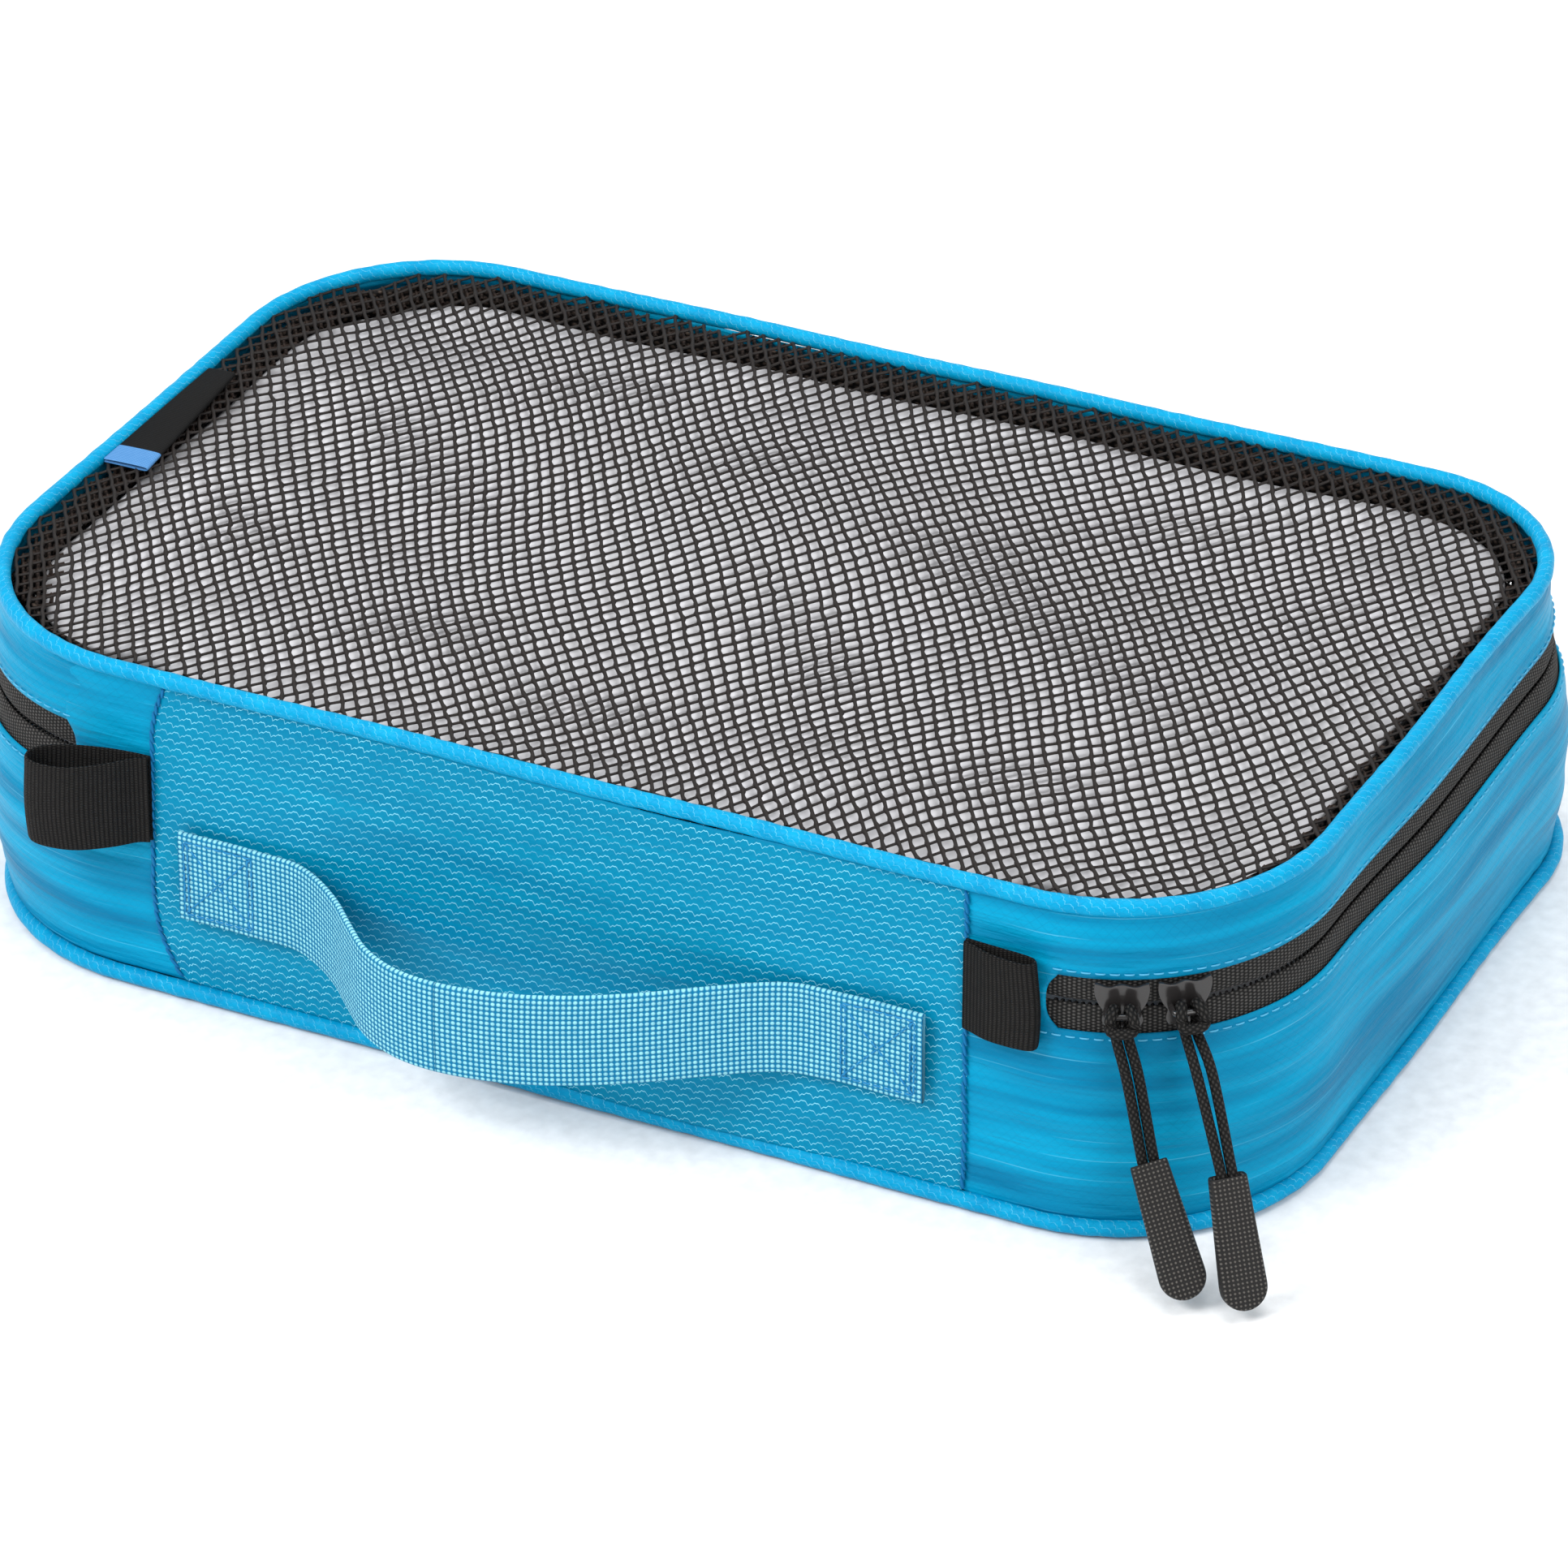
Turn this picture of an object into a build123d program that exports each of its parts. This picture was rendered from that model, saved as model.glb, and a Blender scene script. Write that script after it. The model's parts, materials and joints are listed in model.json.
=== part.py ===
"""Soft packing cube: a zipped fabric box with a mesh lid, a webbing carry handle and two grosgrain loops.

Millimetres.  +X runs along the long side, -Y is the handle side, +Z is up.
The origin is the middle of the underside.  Cloth is drawn at 1 mm so that every layer is a closed solid.
"""
from build123d import *
import os
from math import cos, radians, sin

# ---- driving dimensions: the box ---------------------------------------------------------------------
HEIGHT = 80.0               # underside to the top of the upper piping
BOTTOM_HALF_X = 160.2       # outline of the side wall at the lower piping
BOTTOM_HALF_Y = 101.8
TOP_HALF_X = 159.0          # outline of the side wall at the upper piping
TOP_HALF_Y = 95.5
CORNER_R = 47.0
FABRIC = 1.0

# ---- piping and seams ----------------------------------------------------------------------------------
PIPING_R = 2.25
PIPING_BORE_R = 1.35
PIPING_CORD_R = 1.25
PIPING_D = 2 * PIPING_R
BINDING = 1.2               # bound seam allowance that stands inside the piping
BINDING_HEIGHT = 8.0
SEAM_LEFT_X = -98.5         # seams between the handle panel and the side bands
SEAM_RIGHT_X = 98.8

# ---- zip -----------------------------------------------------------------------------------------------
ZIP_MIDDLE = 55.0
ZIP_WINDOW = 12.0           # tape that shows between the two folded fabric edges
ZIP_SLOT = 1.2              # gap between the two tapes, where the slider's neck runs
ZIP_END_X = 118.0           # the zip stops this far from the middle of the handle side
ZIP_END_GAP = 0.3
TAPE = 0.8
TAPE_WIDTH = 12.0
COIL_DEPTH = 1.6
COIL_WIDTH = 2.4

# ---- lid fold on the handle side -------------------------------------------------------------------------
FOLD_Z = 66.5
FOLD_GAP = 0.8

# ---- webbing handle --------------------------------------------------------------------------------------
WEBBING = 22.0
WEBBING_THICK = 1.4
HANDLE_FOOT_Z = 22.5
HANDLE_LEFT_X = -91.5
HANDLE_RIGHT_X = 88.5
HANDLE_SEWN = 21.5
HANDLE_GAP = 0.3
BOW_STAND_OFF = 1.0         # centre of the webbing from the wall, where the bow leaves its sewn ends
BOW_POINTS = [(-57.0, -3.4), (-44.0, -11.5), (-31.5, -24.0), (-13.0, -31.5), (9.0, -28.5), (32.0, -18.0), (50.0, -6.6)]

# ---- grosgrain loops -------------------------------------------------------------------------------------
GROSGRAIN = 0.8
LOOP_WIDTH = 21.5
LOOP_RIGHT_FOOT_Z = 43.6
LOOP_LEFT_FOOT_Z = 37.5
LOOP_ROUTES = {             # middle of the grosgrain from its seam, out and back, and the radius of each turn
    "right": (SEAM_RIGHT_X + 0.7, LOOP_RIGHT_FOOT_Z,
              [(0, -0.6), (15.7, -0.8), (15.7, -3.4), (6.0, -3.4), (0, -1.7)], [1.1, 1.1, 6.0]),
    "left": (SEAM_LEFT_X - 0.9, LOOP_LEFT_FOOT_Z,
             [(0, -0.6), (-15.0, -0.8), (-24.4, -3.5), (-24.4, -12.2), (-9.0, -11.8), (0, -2.0)], [12.0, 3.4, 3.4, 8.0]),
}
LABEL_LENGTH = 46.0
LABEL_WIDTH = 12.0
LABEL_MIDDLE_Y = 3.0

# ---- sliders and pulls -----------------------------------------------------------------------------------
SLIDER_HALF_ANGLE = 6.2     # degrees of the corner that half a slider covers
SLIDER_LEFT_ANGLE = 24.8    # from the handle side towards the right-hand end
SLIDER_RIGHT_ANGLE = 40.2
SLIDER_PLATE = 1.0
SLIDER_HALF_HEIGHT = 4.6
SLIDER_STAND_OFF = 0.2      # outer plate from the outline
NECK_HALF_HEIGHT = 0.3
NECK_HALF_ANGLE = 1.8
BAR_R = 0.8
BAR_STAND_OFF = 4.2         # middle of the bridge bar from the outline
BAR_HALF_LENGTH = 3.6
CORD_R = 1.15
CORD_LEG_OFFSET = 1.3       # middle of each leg of the doubled cord from the pull's middle
HITCH_R = 2.6               # the cord wound round the bridge bar
HITCH_BORE_R = 1.1
HITCH_HALF_LENGTH = 2.4
GRIP_THICK = 4.4
GRIP_WIDTH = 8.0
GRIP_END_R = 5.0
GRIP_SOCKET = 2.0           # how far the cord's ends go into the grip
PULL_ROUTES = {             # middle of the grip's mouth, and the middle of its round end
    "left": ((142.2, -103.5, 25.6), (154.2, -113.1, 6.8)),
    "right": ((160.5, -104.6, 28.4), (167.0, -111.1, 6.8)),
}

# ---- worked-out values -----------------------------------------------------------------------------------
PIPING_LOW_Z = PIPING_R
PIPING_HIGH_Z = HEIGHT - PIPING_R
WALL_FOOT = PIPING_D
WALL_HEAD = HEIGHT - PIPING_D
WINDOW_LOW = ZIP_MIDDLE - ZIP_WINDOW / 2
WINDOW_HIGH = ZIP_MIDDLE + ZIP_WINDOW / 2
FOLD_LOW = FOLD_Z - FOLD_GAP / 2
FOLD_HIGH = FOLD_Z + FOLD_GAP / 2
FAR = 400.0


def half_x(z):
    """Half the length of the wall's outline at height z."""
    share = (z - PIPING_LOW_Z) / (PIPING_HIGH_Z - PIPING_LOW_Z)
    return BOTTOM_HALF_X + (TOP_HALF_X - BOTTOM_HALF_X) * share


def half_y(z):
    """Half the depth of the wall's outline at height z."""
    share = (z - PIPING_LOW_Z) / (PIPING_HIGH_Z - PIPING_LOW_Z)
    return BOTTOM_HALF_Y + (TOP_HALF_Y - BOTTOM_HALF_Y) * share


def outline(z, inset):
    """The wall's outline at height z, moved inwards, as a face."""
    with BuildSketch(Plane.XY.offset(z)) as face:
        RectangleRounded(2 * (half_x(z) - inset), 2 * (half_y(z) - inset), CORNER_R - inset)
    return face.sketch


def ring(low, high, outer_inset, inner_inset):
    """A closed band of cloth round the box between two heights and two insets."""
    with BuildPart() as band:
        loft([outline(low, outer_inset), outline(high, outer_inset)])
        loft([outline(low, inner_inset), outline(high, inner_inset)], mode=Mode.SUBTRACT)
    return band.part


def block(x, y, z):
    """A box given by its lower and upper limits along each axis."""
    size = [limits[1] - limits[0] for limits in (x, y, z)]
    middle = [(limits[1] + limits[0]) / 2 for limits in (x, y, z)]
    return Pos(*middle) * Box(*size)


def piping_wire(z):
    """The line that the middle of the piping follows."""
    return outline(z, 0).faces()[0].outer_wire()


def piping(z, radius, bore=0.0):
    """Piping round the whole outline at height z."""
    path = piping_wire(z)
    with BuildPart() as tube:
        with BuildSketch(path ^ 0):
            Circle(radius)
            if bore:
                Circle(bore, mode=Mode.SUBTRACT)
        sweep(path=path)
    return tube.part


def save(piece, name):
    """Label a finished piece and write it as its own STEP file."""
    piece.part.label = name
    export_step(piece.part, f"parts/{name}.step")


os.makedirs("parts", exist_ok=True)
front_depth = (-FAR, CORNER_R - TOP_HALF_Y)
front_panel_zone = block((SEAM_LEFT_X, SEAM_RIGHT_X), front_depth, (-FAR, FAR))
front_zone = block((-ZIP_END_X, ZIP_END_X), front_depth, (-FAR, FAR))
front_zone_wide = block((-ZIP_END_X - ZIP_END_GAP, ZIP_END_X + ZIP_END_GAP), front_depth, (-FAR, FAR))
above_zip = block((-FAR, FAR), (-FAR, FAR), (WINDOW_LOW, FAR)) - front_zone
below_fold = front_zone_wide & block((-FAR, FAR), (-FAR, FAR), (0, FOLD_HIGH))

# ---- base: bottom panel, lower band and the lower part of the handle panel --------------------------------
with BuildPart() as bottom_panel:
    add(outline(0, PIPING_R))
    extrude(amount=FABRIC)
save(bottom_panel, "bottom_panel")

with BuildPart() as lower_band:
    add(ring(WALL_FOOT, FOLD_LOW, 0, FABRIC))
    add(front_panel_zone, mode=Mode.SUBTRACT)
    add(above_zip, mode=Mode.SUBTRACT)
save(lower_band, "lower_band")

with BuildPart() as handle_panel:
    add(ring(WALL_FOOT, FOLD_LOW, 0, FABRIC))
    add(front_panel_zone, mode=Mode.INTERSECT)
save(handle_panel, "handle_panel")

with BuildPart() as bottom_piping_cover:
    add(piping(PIPING_LOW_Z, PIPING_R, PIPING_BORE_R))
save(bottom_piping_cover, "bottom_piping_cover")

with BuildPart() as bottom_piping_cord:
    add(piping(PIPING_LOW_Z, PIPING_CORD_R))
save(bottom_piping_cord, "bottom_piping_cord")

with BuildPart() as bottom_seam_binding:
    add(ring(FABRIC, FABRIC + BINDING_HEIGHT, PIPING_R + 2 * BINDING, PIPING_R + 3 * BINDING))
save(bottom_seam_binding, "bottom_seam_binding")

# ---- lid: mesh, upper band and the upper part of the handle panel -----------------------------------------
with BuildPart() as mesh_panel:
    add(outline(PIPING_HIGH_Z, PIPING_R))
    extrude(amount=-FABRIC)
save(mesh_panel, "mesh_panel")

with BuildPart() as upper_band:
    add(ring(WINDOW_HIGH, WALL_HEAD, 0, FABRIC))
    add(front_panel_zone, mode=Mode.SUBTRACT)
    add(below_fold, mode=Mode.SUBTRACT)
save(upper_band, "upper_band")

with BuildPart() as handle_panel_top:
    add(ring(FOLD_HIGH, WALL_HEAD, 0, FABRIC))
    add(front_panel_zone, mode=Mode.INTERSECT)
save(handle_panel_top, "handle_panel_top")

with BuildPart() as top_piping_cover:
    add(piping(PIPING_HIGH_Z, PIPING_R, PIPING_BORE_R))
save(top_piping_cover, "top_piping_cover")

with BuildPart() as top_piping_cord:
    add(piping(PIPING_HIGH_Z, PIPING_CORD_R))
save(top_piping_cord, "top_piping_cord")

with BuildPart() as top_seam_binding:
    binding_head = PIPING_HIGH_Z - FABRIC
    add(ring(binding_head - BINDING_HEIGHT, binding_head, PIPING_R + 2 * BINDING, PIPING_R + 3 * BINDING))
save(top_seam_binding, "top_seam_binding")

# ---- zip tapes and coils, one of each on the base and on the lid ------------------------------------------
for name, edge, way in (("lower", ZIP_MIDDLE - ZIP_SLOT / 2, -1), ("upper", ZIP_MIDDLE + ZIP_SLOT / 2, 1)):
    tape_low, tape_high = sorted((edge, edge + way * TAPE_WIDTH))
    with BuildPart() as tape:
        add(ring(tape_low, tape_high, FABRIC, FABRIC + TAPE))
        add(front_zone_wide, mode=Mode.SUBTRACT)
    save(tape, f"{name}_zip_tape")

    coil_low, coil_high = sorted((edge, edge + way * COIL_WIDTH))
    with BuildPart() as coil:
        add(ring(coil_low, coil_high, FABRIC + TAPE, FABRIC + TAPE + COIL_DEPTH))
        add(front_zone_wide, mode=Mode.SUBTRACT)
    save(coil, f"{name}_zip_coil")

# ---- woven label, folded and sewn into the left-hand end of the upper seam --------------------------------
with BuildPart() as label_tab:
    with BuildSketch(Plane.XY.offset(PIPING_HIGH_Z)):
        with Locations((-TOP_HALF_X + PIPING_R + LABEL_WIDTH / 2, LABEL_MIDDLE_Y)):
            Rectangle(LABEL_WIDTH, LABEL_LENGTH)
    extrude(amount=2 * GROSGRAIN)
save(label_tab, "label_tab")


def wall_plane(x, z):
    """A plane level with the handle side: local X along the wall, local -Y straight out, Z up the wall."""
    lean = (BOTTOM_HALF_Y - TOP_HALF_Y) / (PIPING_HIGH_Z - PIPING_LOW_Z)
    return Plane(origin=(x, -half_y(z), z), x_dir=(1, 0, 0), z_dir=(0, lean, 1))


# ---- carry handle: two sewn ends on the base, and the bow between them ------------------------------------
bow_left_x = HANDLE_LEFT_X + HANDLE_SEWN
bow_right_x = HANDLE_RIGHT_X - HANDLE_SEWN
for name, start in (("left", HANDLE_LEFT_X), ("right", bow_right_x)):
    with BuildPart() as handle_end:
        with BuildSketch(wall_plane(0, HANDLE_FOOT_Z)):
            with Locations((start + HANDLE_SEWN / 2, -BOW_STAND_OFF)):
                Rectangle(HANDLE_SEWN, WEBBING_THICK)
        extrude(amount=WEBBING)
    save(handle_end, f"handle_end_{name}")

with BuildPart() as handle_strap:
    with BuildSketch(wall_plane(0, HANDLE_FOOT_Z)):
        with BuildLine():
            Spline(
                (bow_left_x + HANDLE_GAP, -BOW_STAND_OFF),
                *BOW_POINTS,
                (bow_right_x - HANDLE_GAP, -BOW_STAND_OFF),
                tangents=((1, 0), (1, 0)),
            )
        trace(line_width=WEBBING_THICK)
    extrude(amount=WEBBING)
save(handle_strap, "handle_strap")

# ---- grosgrain loops over the zip's two ends --------------------------------------------------------------
for name, (seam_x, foot_z, route, radii) in LOOP_ROUTES.items():
    with BuildPart() as loop:
        with BuildSketch(wall_plane(seam_x, foot_z)):
            with BuildLine():
                FilletPolyline(*route, radius=radii)
            trace(line_width=GROSGRAIN)
        extrude(amount=LOOP_WIDTH)
    save(loop, f"loop_{name}")

# ---- sliders, on the arc of the right-hand front corner ----------------------------------------------------
corner_x = half_x(ZIP_MIDDLE) - CORNER_R
corner_y = -half_y(ZIP_MIDDLE) + CORNER_R
neck_inner_r = CORNER_R - FABRIC - TAPE - COIL_DEPTH - 2 * SLIDER_PLATE
plate_r = CORNER_R + SLIDER_STAND_OFF


def radial_plane(angle):
    """A vertical plane through the corner's centre: local X outwards, local Y up, Z along the zip."""
    out = (sin(radians(angle)), -cos(radians(angle)), 0)
    along = (cos(radians(angle)), sin(radians(angle)), 0)
    return Plane(origin=(corner_x, corner_y, ZIP_MIDDLE), x_dir=out, z_dir=tuple(-part for part in along))


def curved_plate(angle, half_angle, inner_r, thick, low, high):
    """A plate bent round the corner, between two heights measured from the middle of the zip."""
    corner_axis = Axis((corner_x, corner_y, 0), (0, 0, 1))
    with BuildPart() as plate:
        with BuildSketch(radial_plane(angle - half_angle)):
            with Locations((inner_r + thick / 2, (low + high) / 2)):
                Rectangle(thick, high - low)
        revolve(axis=corner_axis, revolution_arc=2 * half_angle)
    return plate.part


for name, angle in (("left", SLIDER_LEFT_ANGLE), ("right", SLIDER_RIGHT_ANGLE)):
    with BuildPart() as slider:
        add(curved_plate(angle, SLIDER_HALF_ANGLE, plate_r, SLIDER_PLATE, -SLIDER_HALF_HEIGHT, SLIDER_HALF_HEIGHT))
        add(curved_plate(angle, SLIDER_HALF_ANGLE, neck_inner_r, SLIDER_PLATE, -SLIDER_HALF_HEIGHT, NECK_HALF_HEIGHT))
        add(curved_plate(angle, NECK_HALF_ANGLE, neck_inner_r, plate_r - neck_inner_r + SLIDER_PLATE / 2,
                         -NECK_HALF_HEIGHT, NECK_HALF_HEIGHT))
        with BuildSketch(radial_plane(angle)):
            with Locations((CORNER_R + BAR_STAND_OFF, 0)):
                Circle(BAR_R)
        extrude(amount=BAR_HALF_LENGTH, both=True)
        for side in (-1, 1):
            with BuildSketch(radial_plane(angle).offset(side * (BAR_HALF_LENGTH - BAR_R / 2))):
                with Locations((CORNER_R + (SLIDER_STAND_OFF + BAR_STAND_OFF) / 2 + BAR_R / 2, 0)):
                    Rectangle(BAR_STAND_OFF - SLIDER_STAND_OFF + BAR_R, 2 * BAR_R)
            extrude(amount=BAR_R / 2, both=True)
    save(slider, f"slider_{name}")

    # the doubled cord hangs from the bridge bar, and the moulded grip closes over its two ends
    mouth, tip = (Vector(*point) for point in PULL_ROUTES[name])
    bar = radial_plane(angle).from_local_coords(Vector(CORNER_R + BAR_STAND_OFF, 0, 0))
    along = radial_plane(angle).z_dir
    run = (mouth - bar).normalized()
    with BuildPart() as pull_cord:
        with BuildSketch(radial_plane(angle)):
            with Locations((CORNER_R + BAR_STAND_OFF, 0)):
                Circle(HITCH_R)
                Circle(HITCH_BORE_R, mode=Mode.SUBTRACT)
        extrude(amount=HITCH_HALF_LENGTH, both=True)
        leg_start = bar + run * (HITCH_BORE_R + HITCH_R) / 2
        leg_plane = Plane(origin=leg_start, x_dir=along, z_dir=run)
        with BuildSketch(leg_plane):
            with Locations((-CORD_LEG_OFFSET, 0), (CORD_LEG_OFFSET, 0)):
                Circle(CORD_R)
        extrude(amount=(mouth - leg_start).length + GRIP_SOCKET)
    save(pull_cord, f"pull_cord_{name}")

    slope = (tip - mouth).normalized()
    across = (along - slope * along.dot(slope)).normalized()
    face_plane = Plane(origin=mouth, x_dir=across, z_dir=across.cross(slope))
    grip_length = (tip - mouth).length
    with BuildPart() as pull_grip:
        with BuildSketch(face_plane):
            with BuildLine():
                Polyline(
                    (-GRIP_WIDTH / 2, 0),
                    (GRIP_WIDTH / 2, 0),
                    (GRIP_END_R, grip_length),
                    (-GRIP_END_R, grip_length),
                    close=True,
                )
            make_face()
            with Locations((0, grip_length)):
                Circle(GRIP_END_R)
        extrude(amount=GRIP_THICK / 2, both=True)
        add(pull_cord.part, mode=Mode.SUBTRACT)
    save(pull_grip, f"pull_grip_{name}")
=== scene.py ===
# %% [markdown]
# # A soft packing cube
# A packing cube is a zipped cloth box that keeps clothes together in a suitcase. This one has
# thin ripstop walls, a knitted mesh lid, piped edges, a webbing handle and two grosgrain loops.
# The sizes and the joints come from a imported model, the frame. This script gives each piece its
# cloth, its stitches and its finish, and never moves the frame.

# %% The frame
import json
import math
import bpy
import numpy as np
from mathutils import Matrix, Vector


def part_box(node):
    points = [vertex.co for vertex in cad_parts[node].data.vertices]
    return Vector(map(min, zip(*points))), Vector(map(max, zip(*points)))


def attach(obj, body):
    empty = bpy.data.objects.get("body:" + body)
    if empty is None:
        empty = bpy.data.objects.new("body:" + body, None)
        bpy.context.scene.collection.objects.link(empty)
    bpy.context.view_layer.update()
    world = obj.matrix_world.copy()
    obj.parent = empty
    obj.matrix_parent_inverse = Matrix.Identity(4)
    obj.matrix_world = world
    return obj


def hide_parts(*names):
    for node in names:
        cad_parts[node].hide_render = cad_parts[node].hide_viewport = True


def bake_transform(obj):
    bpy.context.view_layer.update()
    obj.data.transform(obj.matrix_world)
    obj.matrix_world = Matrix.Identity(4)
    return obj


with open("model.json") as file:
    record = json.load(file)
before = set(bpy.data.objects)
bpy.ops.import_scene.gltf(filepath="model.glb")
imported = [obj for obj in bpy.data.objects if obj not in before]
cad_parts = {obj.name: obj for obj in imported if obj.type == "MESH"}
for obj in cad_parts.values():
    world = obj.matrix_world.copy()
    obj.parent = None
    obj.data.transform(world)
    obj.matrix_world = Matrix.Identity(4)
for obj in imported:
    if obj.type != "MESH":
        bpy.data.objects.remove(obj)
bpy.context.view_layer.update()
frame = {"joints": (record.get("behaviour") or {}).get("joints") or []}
joints = {joint["name"]: joint for joint in frame["joints"]}

# %% [markdown]
# ## Measures
# Cloth is easier to think about in millimetres, so every measure here is in millimetres and one
# factor turns it into Blender's metres. The outline of the wall is read from the frame: the
# piping runs exactly along it, once at the bottom and once at the top.

# %% Measures from the frame
MM = 0.001


def limits(node):
    """A node's lowest and highest corners in millimetres."""
    return [np.array(corner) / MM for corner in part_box(node)]


low_pipe, high_pipe = limits("bottom_piping_cover"), limits("top_piping_cover")
PIPE_R = (low_pipe[1][2] - low_pipe[0][2]) / 2
PIPE_LOW_Z = (low_pipe[1][2] + low_pipe[0][2]) / 2
PIPE_HIGH_Z = (high_pipe[1][2] + high_pipe[0][2]) / 2
LOW_HALF = low_pipe[1][:2] - PIPE_R
HIGH_HALF = high_pipe[1][:2] - PIPE_R
ZIP_Z = joints["left_slider_travel"]["pos_m"][2] / MM
CORNER = np.array(joints["left_slider_travel"]["pos_m"][:2]) / MM
WINDOW_HALF = 6
ZIP_LOW, ZIP_HIGH = ZIP_Z - WINDOW_HALF, ZIP_Z + WINDOW_HALF
SEAM_LEFT, SEAM_RIGHT = limits("handle_panel")[0][0], limits("handle_panel")[1][0]
ZIP_END = 118.0
WALL_FOOT, WALL_HEAD = PIPE_LOW_Z + PIPE_R, PIPE_HIGH_Z - PIPE_R


def half_size(z):
    """Half the length and half the depth of the wall's outline at height z."""
    share = (np.asarray(z, float)[..., None] - PIPE_LOW_Z) / (PIPE_HIGH_Z - PIPE_LOW_Z)
    return LOW_HALF + (HIGH_HALF - LOW_HALF) * share


CORNER_R = float(half_size(ZIP_Z)[0] - CORNER[0])
CORNER_RADII = np.array((CORNER_R + 4.5, CORNER_R, CORNER_R - 8.0, CORNER_R - 2.0))
print("corner radius", round(CORNER_R, 2), "zip height", ZIP_Z)

# %% [markdown]
# ## One surface for the whole wall
# Bands, panel, zip and piping all lie on the same wall, so they share one function that turns a
# distance round the box and a height into a point. Pieces made from it always meet.
# The distance starts in the middle of the handle side and grows towards +X, round the box.
# A sewn box is never quite regular, so each corner has a radius of its own, counted from the
# handle side's left end.

# %% The wall's outline
ZIP_HALF = half_size(ZIP_Z)
QUARTERS = CORNER_RADII * math.pi / 2
NEXT_RADII = np.roll(CORNER_RADII, -1)
STRAIGHTS = 2 * ZIP_HALF[[0, 1, 0, 1]] - CORNER_RADII - NEXT_RADII
SIDES = np.stack([STRAIGHTS, np.roll(QUARTERS, -1)], -1).ravel()
EDGES = np.concatenate([[0], np.cumsum(SIDES)])
ROUND = float(EDGES[-1])
START = ZIP_HALF[0] - CORNER_RADII[0]
CORNER_SIGNS = np.array([(-1, -1), (1, -1), (1, 1), (-1, 1)])


def plan(s, z):
    """Points and outward directions of the plain wall at distances s and heights z."""
    s, z = np.broadcast_arrays(np.asarray(s, float), np.asarray(z, float))
    along = np.mod(s + START, ROUND)
    part = np.clip(np.searchsorted(EDGES, along, side="right") - 1, 0, 7)
    share = (along - EDGES[part]) / SIDES[part]
    side = part // 2
    turning = part % 2 == 1
    angle = (side + np.where(turning, share, 0.0) - 1) * math.pi / 2
    out = np.stack([np.cos(angle), np.sin(angle)], -1)
    facing = (side - 1) * math.pi / 2
    normal = np.stack([np.cos(facing), np.sin(facing)], -1)
    first, last = CORNER_RADII[side][..., None], NEXT_RADII[side][..., None]
    start = CORNER_SIGNS[side] * (half_size(z) - first) + normal * first
    finish = CORNER_SIGNS[(side + 1) % 4] * (half_size(z) - last) + normal * last
    straight = start + (finish - start) * share[..., None]
    curved = CORNER_SIGNS[(side + 1) % 4] * (half_size(z) - last) + out * last
    spot = np.where(turning[..., None], curved, straight)
    points = np.concatenate([spot, z[..., None]], -1)
    return points, np.concatenate([out, np.zeros_like(z)[..., None]], -1)


def end_distance(radius, straight):
    """Distance from the middle of the handle side to the zip's end, part of it round the corner."""
    return straight + radius * math.asin((ZIP_END - straight) / radius)


S_RIGHT_END = end_distance(CORNER_R, CORNER[0]) - 1.6
S_LEFT_END = ROUND - end_distance(CORNER_RADII[0], START)
print("way round the box", round(ROUND), "mm, zip", round(S_LEFT_END - S_RIGHT_END), "mm")

# %% [markdown]
# ## How thin cloth lies
# A filled cloth wall swells between its seams, and its slack gathers into long level creases.
# Small puckers stand along each line of stitching, where the thread has drawn the cloth in.
# A cloth simulation could make this. Sums of a few seeded sine waves are quicker, can be tuned
# one by one, and come out the same on every run. The front right-hand corner stays flat along
# the zip, because the sliders run there.

# %% Waves, swelling and creases
def waves(s, z, seed, count, turns, heights=(1, 2), ridged=False):
    """A sum of waves: turns is the range of whole waves round the box, heights of lengths in z.
    Upright waves, the same at every height, are given a z of 0."""
    random = np.random.default_rng(seed)
    total = np.zeros(np.broadcast(s, z).shape)
    for _ in range(count):
        round_count = random.integers(*turns)
        cycles = round_count * s / ROUND + z / random.uniform(*heights)
        wave = 2 * math.pi * cycles + random.uniform(0, 7)
        total += (1 - 2 * np.abs(np.sin(wave / 2))) if ridged else np.sin(wave)
    return total / math.sqrt(count)


def step(value, low, high):
    """0 below low, 1 above high, and a smooth rise between."""
    share = np.clip((value - low) / (high - low), 0, 1)
    return share * share * (3 - 2 * share)


def away(s, middle, near, far):
    """0 within near of a place on the way round, 1 beyond far."""
    gap = np.abs(np.mod(s - middle + ROUND / 2, ROUND) - ROUND / 2)
    return step(gap, near, far)


S_CORNER = CORNER[0] + QUARTERS[1] / 2


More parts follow.
